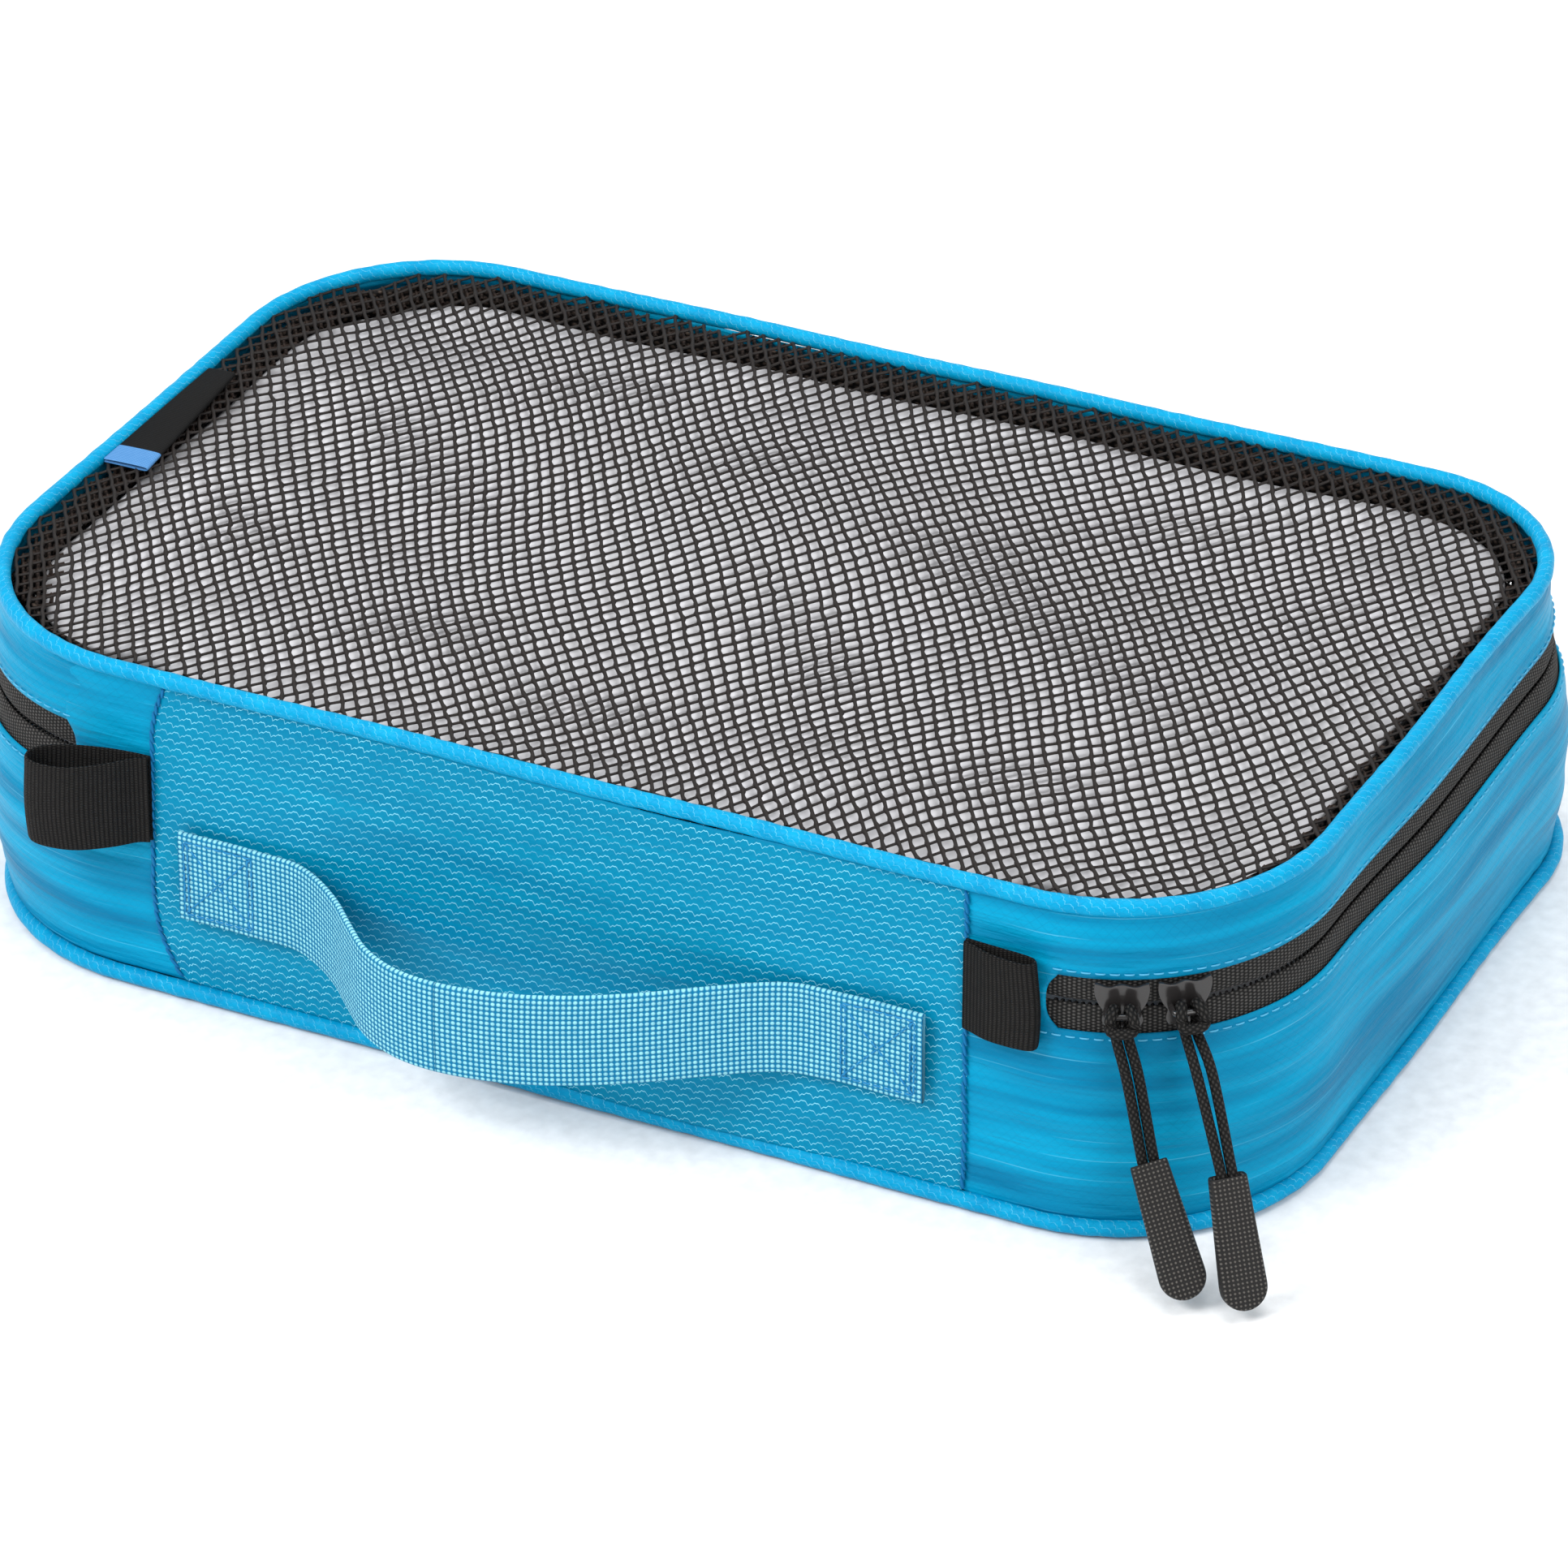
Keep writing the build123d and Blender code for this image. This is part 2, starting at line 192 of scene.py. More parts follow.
def swell(s, z):
    """How far the cloth stands out from the plain wall: least on the panel and at the sliders."""
    s, z = np.broadcast_arrays(np.asarray(s, float), np.asarray(z, float))
    height = np.clip((z - WALL_FOOT) / (WALL_HEAD - WALL_FOOT), 0, 1)
    panel = away(s, 0, 85, 150)
    free = away(s, S_CORNER, 44, 90)
    bulge = np.sin(math.pi * height) * (0.7 + 2.9 * panel * (0.12 + 0.88 * free))
    lower = np.clip((z - WALL_FOOT) / (ZIP_LOW - WALL_FOOT), 0, 1)
    upper = np.clip((z - ZIP_HIGH) / (WALL_HEAD - ZIP_HIGH), 0, 1)
    pillow = 1.5 * np.sin(math.pi * lower) + 1.0 * np.sin(math.pi * upper)
    sway = 0.8 * waves(s, 0 * z, 3, 4, (3, 11)) * (0.35 + 0.65 * free)
    seams = np.minimum(np.sin(math.pi * lower) + np.sin(math.pi * upper), 1)
    crease = waves(s, z, 11, 7, (2, 11), (8, 19), ridged=True) * (0.36 + 0.30 * panel)
    fine = waves(s, z, 17, 6, (12, 34), (14, 60)) * 0.12
    pucker = np.exp(-np.minimum(z - WALL_FOOT, np.abs(WALL_HEAD - z)) / 3.0)
    pucker = pucker * waves(s, 0 * z, 23, 5, (120, 190)) * 0.16
    return bulge + pillow * (0.4 + 0.6 * panel) + sway + (crease + fine) * seams + pucker


def wall(s, z, out=0.0):
    """Points of the real cloth wall, and its outward directions."""
    points, outward = plan(s, z)
    return points + outward * (swell(s, z) + out)[..., None], outward


# %% [markdown]
# ## Making pieces
# Two helpers make every mesh. One builds it and gives it a material, and the other turns a grid
# of points into faces and writes a UV map in millimetres, so that a weave keeps its real size.
# A grid can be closed both ways, which makes a tube or a ring with no open edge.

# %% Helpers for meshes
def make_piece(name, points, faces, material, corner_uv=None):
    """A mesh object at the origin, from points in millimetres."""
    mesh = bpy.data.meshes.new(name)
    points = np.asarray(points, float).reshape(-1, 3) * MM
    mesh.from_pydata(points.tolist(), [], faces if isinstance(faces, list) else faces.tolist())
    if corner_uv is not None:
        layer = mesh.uv_layers.new(name="cloth")
        layer.data.foreach_set("uv", np.asarray(corner_uv, np.float32).ravel())
    mesh.materials.append(material)
    mesh.shade_smooth()
    piece = bpy.data.objects.new(name, mesh)
    bpy.context.scene.collection.objects.link(piece)
    return piece


def grid_faces(rows, columns, close_rows=False, close_columns=False):
    """Quads over a grid, and for each corner its row and column, counted on past a closed seam."""
    row, column = np.meshgrid(
        np.arange(rows if close_rows else rows - 1),
        np.arange(columns if close_columns else columns - 1), indexing="ij")
    corners = [(row, column), (row, column + 1), (row + 1, column + 1), (row + 1, column)]
    faces = np.stack([(r % rows) * columns + c % columns for r, c in corners], -1).reshape(-1, 4)
    return faces, np.stack([np.stack(corner, -1) for corner in corners], -2).reshape(-1, 4, 2)


def grid_piece(name, points, uv_steps, material, close_rows=False, close_columns=False, flip=False):
    """A piece from a grid of points; uv_steps are the UV values of each row and each column."""
    rows, columns = points.shape[:2]
    faces, places = grid_faces(rows, columns, close_rows, close_columns)
    u = np.asarray(uv_steps[1])[places[..., 1]]
    v = np.asarray(uv_steps[0])[places[..., 0]]
    uv = np.stack([u, v], -1)
    if flip:
        faces, uv = faces[:, ::-1], uv[:, ::-1]
    return make_piece(name, points, faces, material, uv)


# %% [markdown]
# Modifiers finish each grid. Solidify gives a sheet its thickness, and Subdivision Surface rounds it. Some
# pieces have their modifiers applied, which turns them into plain meshes.

# %% Helpers for modifiers
def modify(piece, kind, **settings):
    """Adds one modifier with its settings."""
    modifier = piece.modifiers.new(kind.title(), kind)
    for key, value in settings.items():
        setattr(modifier, key, value)
    return modifier


def thicken(piece, thickness, offset=-1.0):
    """Gives a sheet its thickness, in millimetres, inwards from its face."""
    modify(piece, "SOLIDIFY", thickness=thickness * MM, offset=offset, use_even_offset=False)


def smooth(piece, levels=1):
    """A Subdivision Surface that looks the same in the view, the render and the export."""
    modify(piece, "SUBSURF", levels=levels, render_levels=levels, boundary_smooth="PRESERVE_CORNERS")


def bake(piece):
    """Turns a piece and its modifiers into one plain mesh."""
    graph = bpy.context.evaluated_depsgraph_get()
    done = bpy.data.meshes.new_from_object(piece.evaluated_get(graph), depsgraph=graph)
    piece.modifiers.clear()
    piece.data = done
    return piece


# %% [markdown]
# ## Tubes
# Net strands, stitches, the zip's wire and the cords are all round and thin, and there are
# thousands of them. Rings of a few points along each line make them all with one function.

# %% Helpers for tubes
def wire_tube(lines, radius, sides=6, closed=False):
    """Points of tubes along lines; lines is (tubes, points, 3) and the result adds a ring axis."""
    lines = np.asarray(lines, float)
    if closed:
        ahead = np.roll(lines, -1, axis=1) - np.roll(lines, 1, axis=1)
    else:
        ahead = np.gradient(lines, axis=1)
    ahead /= np.linalg.norm(ahead, axis=-1, keepdims=True)
    up = np.where(np.abs(ahead[..., 2:3]) < 0.9, (0.0, 0.0, 1.0), (1.0, 0.0, 0.0))
    first = np.cross(ahead, up)
    first /= np.linalg.norm(first, axis=-1, keepdims=True)
    second = np.cross(ahead, first)
    angle = np.arange(sides) * 2 * math.pi / sides
    radius = np.broadcast_to(np.asarray(radius, float), lines.shape[:2])[..., None, None]
    ring = first[..., None, :] * np.cos(angle)[:, None] + second[..., None, :] * np.sin(angle)[:, None]
    return lines[..., None, :] + ring * radius


def tubes_piece(name, lines, radius, material, sides=6, closed=False, capped=True):
    """Many tubes in one mesh. Their ends are closed with a face each."""
    rings = wire_tube(lines, radius, sides, closed)
    tubes, count = rings.shape[:2]
    faces, _ = grid_faces(count, sides, closed, True)
    first_points = np.arange(tubes) * count * sides
    all_faces = (faces[None] + first_points[:, None, None]).reshape(-1, 4).tolist()
    if capped and not closed:
        start = np.arange(sides)
        end = (start + (count - 1) * sides)[::-1]
        for first_point in first_points:
            all_faces.append((start + first_point).tolist())
            all_faces.append((end + first_point).tolist())
    return make_piece(name, rings, all_faces, material)


# %% [markdown]
# ## Materials
# Each finish is a small node tree. One function adds any node with its settings and links, one
# turns a hex colour into the linear colour that Blender mixes with, one starts a material with
# the constant values on the shader's own sockets, and one joins its colour and bumps to it.

# %% Helpers for materials
def linear(code, alpha=1.0):
    """A linear colour from an sRGB hex code."""
    parts = [int(code[i:i + 2], 16) / 255 for i in (0, 2, 4)]
    return (*[c / 12.92 if c <= 0.04045 else ((c + 0.055) / 1.055) ** 2.4 for c in parts], alpha)


def add(tree, kind, inputs=(), **settings):
    """Adds a node. inputs is a row of values, or pairs of a socket and a value; a node given as a
    value links the output that it has in use."""
    node = tree.nodes.new("ShaderNode" + kind)
    for key, value in settings.items():
        setattr(node, key, value)
    for socket, value in (inputs.items() if isinstance(inputs, dict) else enumerate(inputs)):
        if isinstance(value, bpy.types.Node):
            value = next(output for output in value.outputs if output.enabled)
        if isinstance(value, bpy.types.NodeSocket):
            tree.links.new(value, node.inputs[socket])
        else:
            node.inputs[socket].default_value = value
    return node


def start_material(name, **sockets):
    """A material with one Principled shader, whose plain values are set here."""
    material = bpy.data.materials.new(name)
    material.use_nodes = True
    shader = material.node_tree.nodes["Principled BSDF"]
    for key, value in sockets.items():
        shader.inputs[key.replace("_", " ")].default_value = value
    return material, material.node_tree, shader


def finish(tree, shader, colour, bumps):
    """Joins a colour mix and a Bump node to the shader."""
    tree.links.new(colour.outputs[2], shader.inputs["Base Color"])
    tree.links.new(bumps.outputs[0], shader.inputs["Normal"])


# %% [markdown]
# ## Ripstop nylon
# Ripstop is a thin plain-woven nylon with a thicker thread every few millimetres, here set on the
# diagonal. Its flat filaments give a satin sheen, and it creases in long level lines. The UV map
# is in millimetres, so that every thread spacing below is a real one.

# %% Threads
def cloth_axes(tree):
    """The UV map, and the two distances along the cloth, in millimetres."""
    uv = add(tree, "UVMap", uv_map="cloth")
    parts = add(tree, "SeparateXYZ", (uv,))
    return uv, parts.outputs[0], parts.outputs[1]


def thread_line(tree, distance, half_width, softness=0.6):
    """1 on a thread and 0 beside it, from the distance to its middle."""
    wide, narrow = half_width * (1 + softness), half_width * (1 - softness)
    return add(tree, "MapRange", (distance, wide, narrow))


def cloth_noise(tree, uv, stretch, detail=2.0):
    """Noise over the cloth, with a number of lumps a millimetre along each axis."""
    place = add(tree, "Mapping", {"Vector": uv, "Scale": (*stretch, 1)})
    return add(tree, "TexNoise", {"Vector": place, "Scale": 1.0, "Detail": detail})


# %% [markdown]
# The handle side is a patterned ripstop: pale threads climb across it in rows of small stairs and
# fall back again, so that neighbouring rows close into small diamonds.

# %% Zigzag threads
STAIR_LENGTH, STAIR_ROW = 3.1, 1.95


def zigzag_threads(tree, u, v):
    """1 on the pale threads. Each row is shifted against the next by a part of a stair."""
    row = add(tree, "Math", (v, STAIR_ROW), operation="DIVIDE")
    number = add(tree, "Math", (row,), operation="FLOOR")
    stair = add(tree, "Math", (u, STAIR_LENGTH), operation="DIVIDE")
    shifted = add(tree, "Math", (number, 0.62, stair), operation="MULTIPLY_ADD")
    along = add(tree, "Math", (shifted,), operation="FRACT")
    falling = add(tree, "Math", (along, -2.4, 2.4), operation="MULTIPLY_ADD")
    climb = add(tree, "Math", (along, falling), operation="MINIMUM")
    foot = add(tree, "Math", (climb, 0.688, 0.14), operation="MULTIPLY_ADD")
    thirds = add(tree, "Math", (along, 3.0), operation="MULTIPLY")
    tread = add(tree, "Math", (thirds, 0.5), operation="PINGPONG")
    line = add(tree, "Math", (tread, 0.34, foot), operation="MULTIPLY_ADD")
    height = add(tree, "Math", (row,), operation="FRACT")
    above = add(tree, "Math", (height, line), operation="SUBTRACT")
    return thread_line(tree, add(tree, "Math", (above,), operation="ABSOLUTE"), 0.042)


# %% [markdown]
# One function makes all three ripstops, because they are the same cloth: plain on the sides,
# patterned on the handle side, and cut on the bias for the piping.

# %% Ripstop
GRID_PITCH, LEVEL_PITCH, THREAD_HALF = 2.4, 4.7, 0.10
GRID_BLUE = "005A84"


def ripstop(name, dark, light, thread, zigzag=0.0, bias=0.0):
    """Satin nylon, with painted streaks of crease shade (dark) and sheen (light); zigzag is how strongly the
    pale threads show, bias turns them in degrees.
    """
    material, tree, shader = start_material(name, Roughness=0.40, Specular_IOR_Level=0.07)
    uv, u, v = cloth_axes(tree)
    # Long level streaks between the dark and the light blue: painted shade and sheen of the cloth's level
    # creases, weaker on the patterned panel.
    low, high = (0.1, 0.9) if zigzag else (0.36, 0.66)
    shade = add(tree, "MapRange", (cloth_noise(tree, uv, (0.012, 0.16), 3.0), low, high))
    colour = add(tree, "Mix", {0: shade, 6: linear(dark), 7: linear(light)}, data_type="RGBA")
    lines = []
    for diagonal in ("ADD", "SUBTRACT"):
        across = add(tree, "Math", (u, v), operation=diagonal)
        near = add(tree, "Math", (across, GRID_PITCH / 2), operation="PINGPONG")
        lines.append(thread_line(tree, near, THREAD_HALF))
    grid = add(tree, "Math", lines, operation="MAXIMUM")
    faint = add(tree, "Math", (cloth_noise(tree, uv, (0.05, 0.09)), 0.30), operation="MULTIPLY")
    share = add(tree, "Math", (grid, faint), operation="MULTIPLY")
    colour = add(tree, "Mix", {0: share, 6: colour, 7: linear(GRID_BLUE)}, data_type="RGBA")
    height = add(tree, "Math", (grid, 0.5), operation="MULTIPLY")
    if zigzag:
        if bias:
            turned = add(tree, "VectorRotate", {0: uv, "Angle": math.radians(bias)}, rotation_type="Z_AXIS")
            parts = add(tree, "SeparateXYZ", (turned,))
            u, v = parts.outputs[0], parts.outputs[1]
        pale = zigzag_threads(tree, u, v)
        show = add(tree, "MapRange", (cloth_noise(tree, uv, (0.11, 0.14)), 0.30, 0.62, 0.35, 1.0))
        strong = add(tree, "Math", (show, zigzag), operation="MULTIPLY")
        height = add(tree, "Math", (height, pale), operation="ADD")
    else:
        near = add(tree, "Math", (v, LEVEL_PITCH / 2), operation="PINGPONG")
        pale = thread_line(tree, near, THREAD_HALF)
        strong = add(tree, "MapRange", (cloth_noise(tree, uv, (0.03, 0.3)), 0.5, 0.68, 0.0, 0.32))
    share = add(tree, "Math", (pale, strong), operation="MULTIPLY")
    colour = add(tree, "Mix", {0: share, 6: colour, 7: linear(thread)}, data_type="RGBA")
    creases = add(tree, "Bump", {"Height": cloth_noise(tree, uv, (0.035, 0.34), 4.0),
                                 "Distance": 1.5 * MM, "Strength": 0.3 if zigzag else 0.8})
    weave = add(tree, "Bump", {"Height": height, "Distance": 0.06 * MM, "Strength": 0.6, "Normal": creases})
    finish(tree, shader, colour, weave)
    return material


side_cloth = ripstop("side ripstop", "00739C", "0098C2", "7FD4EE")
panel_cloth = ripstop("patterned ripstop", "007098", "008CB0", "9BEAFA", zigzag=0.9)
piping_cloth = ripstop("piping ripstop", "0082B4", "0AA2CE", "8FE4F6", zigzag=0.35, bias=45)
print("ripstops:", side_cloth.name, panel_cloth.name, piping_cloth.name)

# %% [markdown]
# ## Tapes and webbing
# The webbing is coarse polyester whose crossings show as a grid of pale dots over blue. Grosgrain has raised
# ribs across its length. The zip tape is knitted in rows of small matt loops. Each is a grid of yarns in the
# same UV millimetres, with bumps where one yarn crosses another. The crossings are painted lighter, as
# painted highlights, and the ground between them darker, as painted shade.

# %% Woven tapes
def yarn_grid(tree, u, v, pitch_u, pitch_v, shift=0.0):
    """1 in the middle of each yarn crossing and 0 between them; shift moves every other column."""
    column = add(tree, "Math", (u, pitch_u), operation="DIVIDE")
    number = add(tree, "Math", (column,), operation="FLOOR")
    odd = add(tree, "Math", (number, 1.0), operation="PINGPONG")
    row = add(tree, "Math", (v, pitch_v), operation="DIVIDE")
    moved = add(tree, "Math", (odd, shift, row), operation="MULTIPLY_ADD")
    across = add(tree, "Math", (column, 0.5), operation="PINGPONG")
    up = add(tree, "Math", (moved, 0.5), operation="PINGPONG")
    crossing = add(tree, "Math", (across, up), operation="MULTIPLY")
    return add(tree, "Math", (crossing, 4.0), operation="MULTIPLY")


def woven(name, shaded_ground, yarn, pitch_u, pitch_v, shift, depth, edge=(0.15, 0.55)):
    """A matt tape whose raised yarn crossings are painted in a light colour, a painted highlight, over a
    ground painted darker, as shade between the yarns.
    """
    material, tree, shader = start_material(name, Roughness=0.75, Specular_IOR_Level=0.15)
    uv, u, v = cloth_axes(tree)
    dots = yarn_grid(tree, u, v, pitch_u, pitch_v, shift)
    # Painted highlight on the raised crossings and painted shade on the ground between them; noise makes the
    # highlight patchy.
    share = add(tree, "MapRange", (dots, *edge))
    patchy_highlight = add(tree, "MapRange", (cloth_noise(tree, uv, (0.5, 0.5), 3.0), 0.2, 0.6, 0.6, 1.0))
    share = add(tree, "Math", (share, patchy_highlight), operation="MULTIPLY")
    colour = add(tree, "Mix", {0: share, 6: linear(shaded_ground), 7: linear(yarn)}, data_type="RGBA")
    finish(tree, shader, colour, add(tree, "Bump", {"Height": dots, "Distance": depth * MM}))
    return material


# For each tape the first colour is its ground in painted shade and the second its crossings in painted
# highlight.
webbing_cloth = woven("handle webbing", "006C98", "9AE2EC", 1.25, 1.15, 0.0, 0.35, (0.1, 0.5))
grosgrain_cloth = woven("grosgrain ribbon", "060606", "3A3836", 1.0, 0.42, 0.5, 0.4, (0.1, 0.7))
tape_cloth = woven("knitted zip tape", "161616", "6A6866", 1.05, 0.75, 0.5, 0.35, (0.1, 0.9))
binding_cloth = woven("seam binding", "0E0B0A", "4A3F38", 2.2, 1.6, 0.5, 0.4)
label_cloth = woven("woven label", "070707", "161617", 0.5, 0.3, 0.5, 0.06)
stripe_cloth = woven("label stripe", "3F78B0", "6E9FD0", 0.5, 0.3, 0.5, 0.06)
print("tapes:", webbing_cloth.name, grosgrain_cloth.name, tape_cloth.name)

# %% [markdown]
# ## Threads, nylon, enamel and clothes
# These have one colour each, a little uneven. Polyester thread and yarn are half matt, the zip's
# nylon wire shines softly, and the sliders' baked enamel is the one glossy finish.

# %% One-colour materials
NOISE_SCALE = 260.0


def plain(name, colour, roughness, shine=0.2):
    """A material of one colour, made uneven by noise with lumps of about 4 mm."""
    material, tree, shader = start_material(name, Roughness=roughness, Specular_IOR_Level=shine)
    place = add(tree, "TexCoord").outputs["Object"]
    noise = add(tree, "TexNoise", {"Vector": place, "Scale": NOISE_SCALE, "Detail": 3.0})
    dark = tuple(0.72 * c for c in linear(colour)[:3]) + (1.0,)
    shade = add(tree, "Mix", {0: noise, 6: dark, 7: linear(colour)}, data_type="RGBA")
    finish(tree, shader, shade, add(tree, "Bump", {"Height": noise, "Distance": 0.05 * MM, "Strength": 0.5}))
    return material


pale_thread = plain("topstitch thread", "58B8E0", 0.6)
blue_thread = plain("seam thread", "0070A8", 0.6)
strap_thread = plain("handle thread", "2488C0", 0.6)
mesh_yarn = plain("mesh yarn", "211C1A", 0.6, 0.25)
# The hem's yarn is the same yarn, painted lighter brown as a painted highlight, where its strands show lit
# against the dark inside.
lit_hem_yarn = plain("mesh yarn painted lit in the hem", "382C26", 0.6, 0.25)
coil_plastic = plain("zip coil nylon", "1B1B1C", 0.4)
enamel = plain("slider enamel", "2B2929", 0.16, 0.6)
piping_string = plain("piping cord", "C8D2DA", 0.8)
stuffing_cloth = plain("packed clothes", "E6E6EA", 0.85, 0.1)

# %% [markdown]
# ## The walls
# The lower band runs from one seam of the handle panel round the box to the other. The lid's band starts at
# the zip's end. Between the zip's end and the seam both bands are one patch of cloth, and there the lid has
# no slit to open along: the cloth itself has to bend. The same is true of the handle panel, so these pieces
# are baked into plain meshes and given to neither the base nor the lid. The whole wall could be one mesh, but
# a sheet for each sewn piece gives real edges and laps at the seams.

# %% Bands
def wall_piece(name, s_range, z_range, material, out=0.0, thick=0.9, pitch=(2.8, 2.4), shift=None):
    """A sheet of cloth on the wall, thickened inwards; shift moves its two edges by height."""
    count_s = max(2, int(round((s_range[1] - s_range[0]) / pitch[0])))
    count_z = max(2, int(round((z_range[1] - z_range[0]) / pitch[1])))
    share = np.linspace(0, 1, count_s + 1)
    z = np.linspace(*z_range, count_z + 1)
    moves = np.zeros((2, len(z))) if shift is None else np.array(shift(z))
    first, last = s_range[0] + moves[0][:, None], s_range[1] + moves[1][:, None]
    points, _ = wall(first + (last - first) * share, z[:, None], out)
    piece = grid_piece(name, points, (z, s_range[0] + (s_range[1] - s_range[0]) * share), material)
    thicken(piece, thick)
    smooth(piece)
    return piece


SEAM_TURN = 0.9
FOOT, HEAD = WALL_FOOT - SEAM_TURN, WALL_HEAD + SEAM_TURN
OVERLAP, PANEL_TUCK = 2.0, 9.0
bands = (
    ("lower_band", "base", (SEAM_RIGHT - OVERLAP, ROUND + SEAM_LEFT + PANEL_TUCK), (FOOT, ZIP_LOW)),
    ("upper_band", "lid", (S_RIGHT_END - OVERLAP, S_LEFT_END + OVERLAP), (ZIP_HIGH, HEAD)),
)
for node, body, s_range, z_range in bands:
    band = wall_piece(f"{node}_cloth", s_range, z_range, side_cloth)
    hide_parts(node)
    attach(band, body)
print("bands from", round(FOOT, 1), "to", round(HEAD, 1), "mm high")

# %% [markdown]
# The patches past the zip's ends run from a little under the fold up to the top of the wall, and the ends of
# the zip window are rounded.


def window_end(z):
    """The zip window's end is rounded: its edge comes forward at the top and the bottom."""
    return 2.6 * np.clip(np.abs(z - ZIP_Z) / WINDOW_HALF, 0, 1.1) ** 3


patches = (
    ("right", SEAM_RIGHT, 1, (SEAM_RIGHT - OVERLAP, S_RIGHT_END), lambda z: (0 * z, window_end(z))),
    ("left", SEAM_LEFT, -1, (S_LEFT_END - ROUND, SEAM_LEFT + PANEL_TUCK), lambda z: (-window_end(z), 0 * z)),
)
for name, seam, side, ends, shift in patches:
    patch = bake(wall_piece(f"zip_end_patch_{name}", ends, (ZIP_LOW - OVERLAP, HEAD), side_cloth,
                            pitch=(1.6, 1.4), shift=shift))
    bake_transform(patch)

# %% [markdown]
# The handle panel lies over the bands' ends, so it stands out a little further than they do. Like the patches
# it is one sheet across the lid's fold, and it is baked into a plain mesh.

# %% Handle panel
PANEL_OUT = 0.45


def panel_corner(z):
    """The panel is cut with rounded corners at its left end, and almost square at its right."""
    low, high = np.clip((24 - z) / 20, 0, 1), np.clip((z - 62) / 14, 0, 1)
    return 6.5 * low ** 2 + 3.4 * high ** 2, -1.2 * low ** 2


handle_panel = bake(wall_piece("handle_panel_cloth", (SEAM_LEFT, SEAM_RIGHT), (FOOT, HEAD),
                               panel_cloth, out=PANEL_OUT, shift=panel_corner))
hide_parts("handle_panel", "handle_panel_top")
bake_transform(handle_panel)
print("panel from", round(SEAM_LEFT, 1), "to", round(SEAM_RIGHT, 1), "mm")

# %% [markdown]
# ## Zip tapes and coils
# The zip is sewn in behind the window. Each tape is a strip of the wall surface, a millimetre
# further in, whose inner edge turns in at the slot, so that the slot is a real gap.

# %% Zip tapes
ZIP_START, ZIP_STOP = S_RIGHT_END - 3, S_LEFT_END + 3
TAPE_PITCH, TAPE_THICK, SLOT_HALF = 2.6, 0.7, 0.35


def zip_side(name, z_edge, z_slot, body, node):
    """One tape, with its edge turned in at the slot."""
    inward = np.array([1.0, 1.0, 1.0, 1.0, 0.95, 0.85, 0.85, 1.2])
    rows = np.linspace(z_edge, z_slot, len(inward))
    s = np.linspace(ZIP_START, ZIP_STOP, int((ZIP_STOP - ZIP_START) / TAPE_PITCH))
    points = np.stack([wall(s, np.full_like(s, z), -depth)[0] for z, depth in zip(rows, inward)])
    piece = grid_piece(name, points, (rows, s), tape_cloth, flip=z_slot < z_edge)
    thicken(piece, TAPE_THICK)
    smooth(piece)
    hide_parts(node)
    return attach(piece, body)


zip_side("lower_tape_cloth", 43.0, ZIP_Z - SLOT_HALF, "base", "lower_zip_tape")
zip_side("upper_tape_cloth", 67.0, ZIP_Z + SLOT_HALF, "lid", "upper_zip_tape")

# %% [markdown]
# The coil is one nylon wire wound round and round, flattened, and sewn to the inside of its
# tape, and one turn of it is one tooth. An Array of one tooth along a curve would do, but a
# formula for the helix follows the swelling wall exactly. Eight points a turn and four sides are
# enough, as it only shows in the slot between the tapes.

# %% Zip coils
TOOTH_PITCH, TURN_POINTS, WIRE_R = 1.5, 8, 0.3


def zip_coil(name, z_middle, body, node):
    """A flat helix of nylon wire behind the tape."""
    length = ZIP_STOP - ZIP_START - 8
    turns = int(length / TOOTH_PITCH)
    share = np.linspace(0, 1, turns * TURN_POINTS + 1)
    s = ZIP_START + 4 + share * length
    angle = share * turns * 2 * math.pi
    points, _ = wall(s, z_middle + 0.95 * np.sin(angle), -2.55 + 0.45 * np.cos(angle))
    coil = tubes_piece(name, points[None], WIRE_R, coil_plastic, sides=4)
    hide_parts(node)
    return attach(coil, body)


zip_coil("lower_coil_wire", ZIP_Z - 1.8, "base", "lower_zip_coil")
zip_coil("upper_coil_wire", ZIP_Z + 1.8, "lid", "upper_zip_coil")
print("zip:", int((ZIP_STOP - ZIP_START - 8) / TOOTH_PITCH), "teeth a side")

# %% [markdown]
# ## Piping
# Each piping is a strip of ripstop cut on the bias and folded round a cord. The cover here is a
# tube along the wall's outline. It tightens a little at every stitch, and wanders a little too.
# A curve with a round bevel would give the tube, but a grid also gives the UV map that the
# bias-cut threads need. The cord runs in its middle, as a plain closed tube.

# %% Piping covers
def outline_points(z, inset, s):
    """Points on the plain outline, inset from the wall."""
    points, outward = plan(s, np.full_like(s, z))
    return points - outward * inset, outward


def piping_cover(name, z, body, node):
    """A closed tube of cloth along one edge of the box, with small puckers."""
    count, sides = 430, 12
    s = np.arange(count) * ROUND / count
    middle, outward = outline_points(z, 0.0, s)
    angle = np.arange(sides) * 2 * math.pi / sides
    pucker = 0.10 * waves(s, 0 * s, 31, 5, (90, 180))
    drift = 0.22 * waves(s, 0 * s, 37, 4, (5, 16))
    radius = (PIPE_R - 0.28 + pucker)[:, None, None]
    ring = (outward[:, None] * np.cos(angle)[None, :, None]
            + np.array((0, 0, 1.0)) * np.sin(angle)[None, :, None])
    points = middle[:, None] + outward[:, None] * drift[:, None, None] + ring * radius
    u = np.arange(count + 1) * ROUND / count
    v = np.arange(sides + 1) * 2 * math.pi * PIPE_R / sides
    cover = grid_piece(name, points, (u, v), piping_cloth, True, True, flip=True)
    smooth(cover)
    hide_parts(node)
    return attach(cover, body)


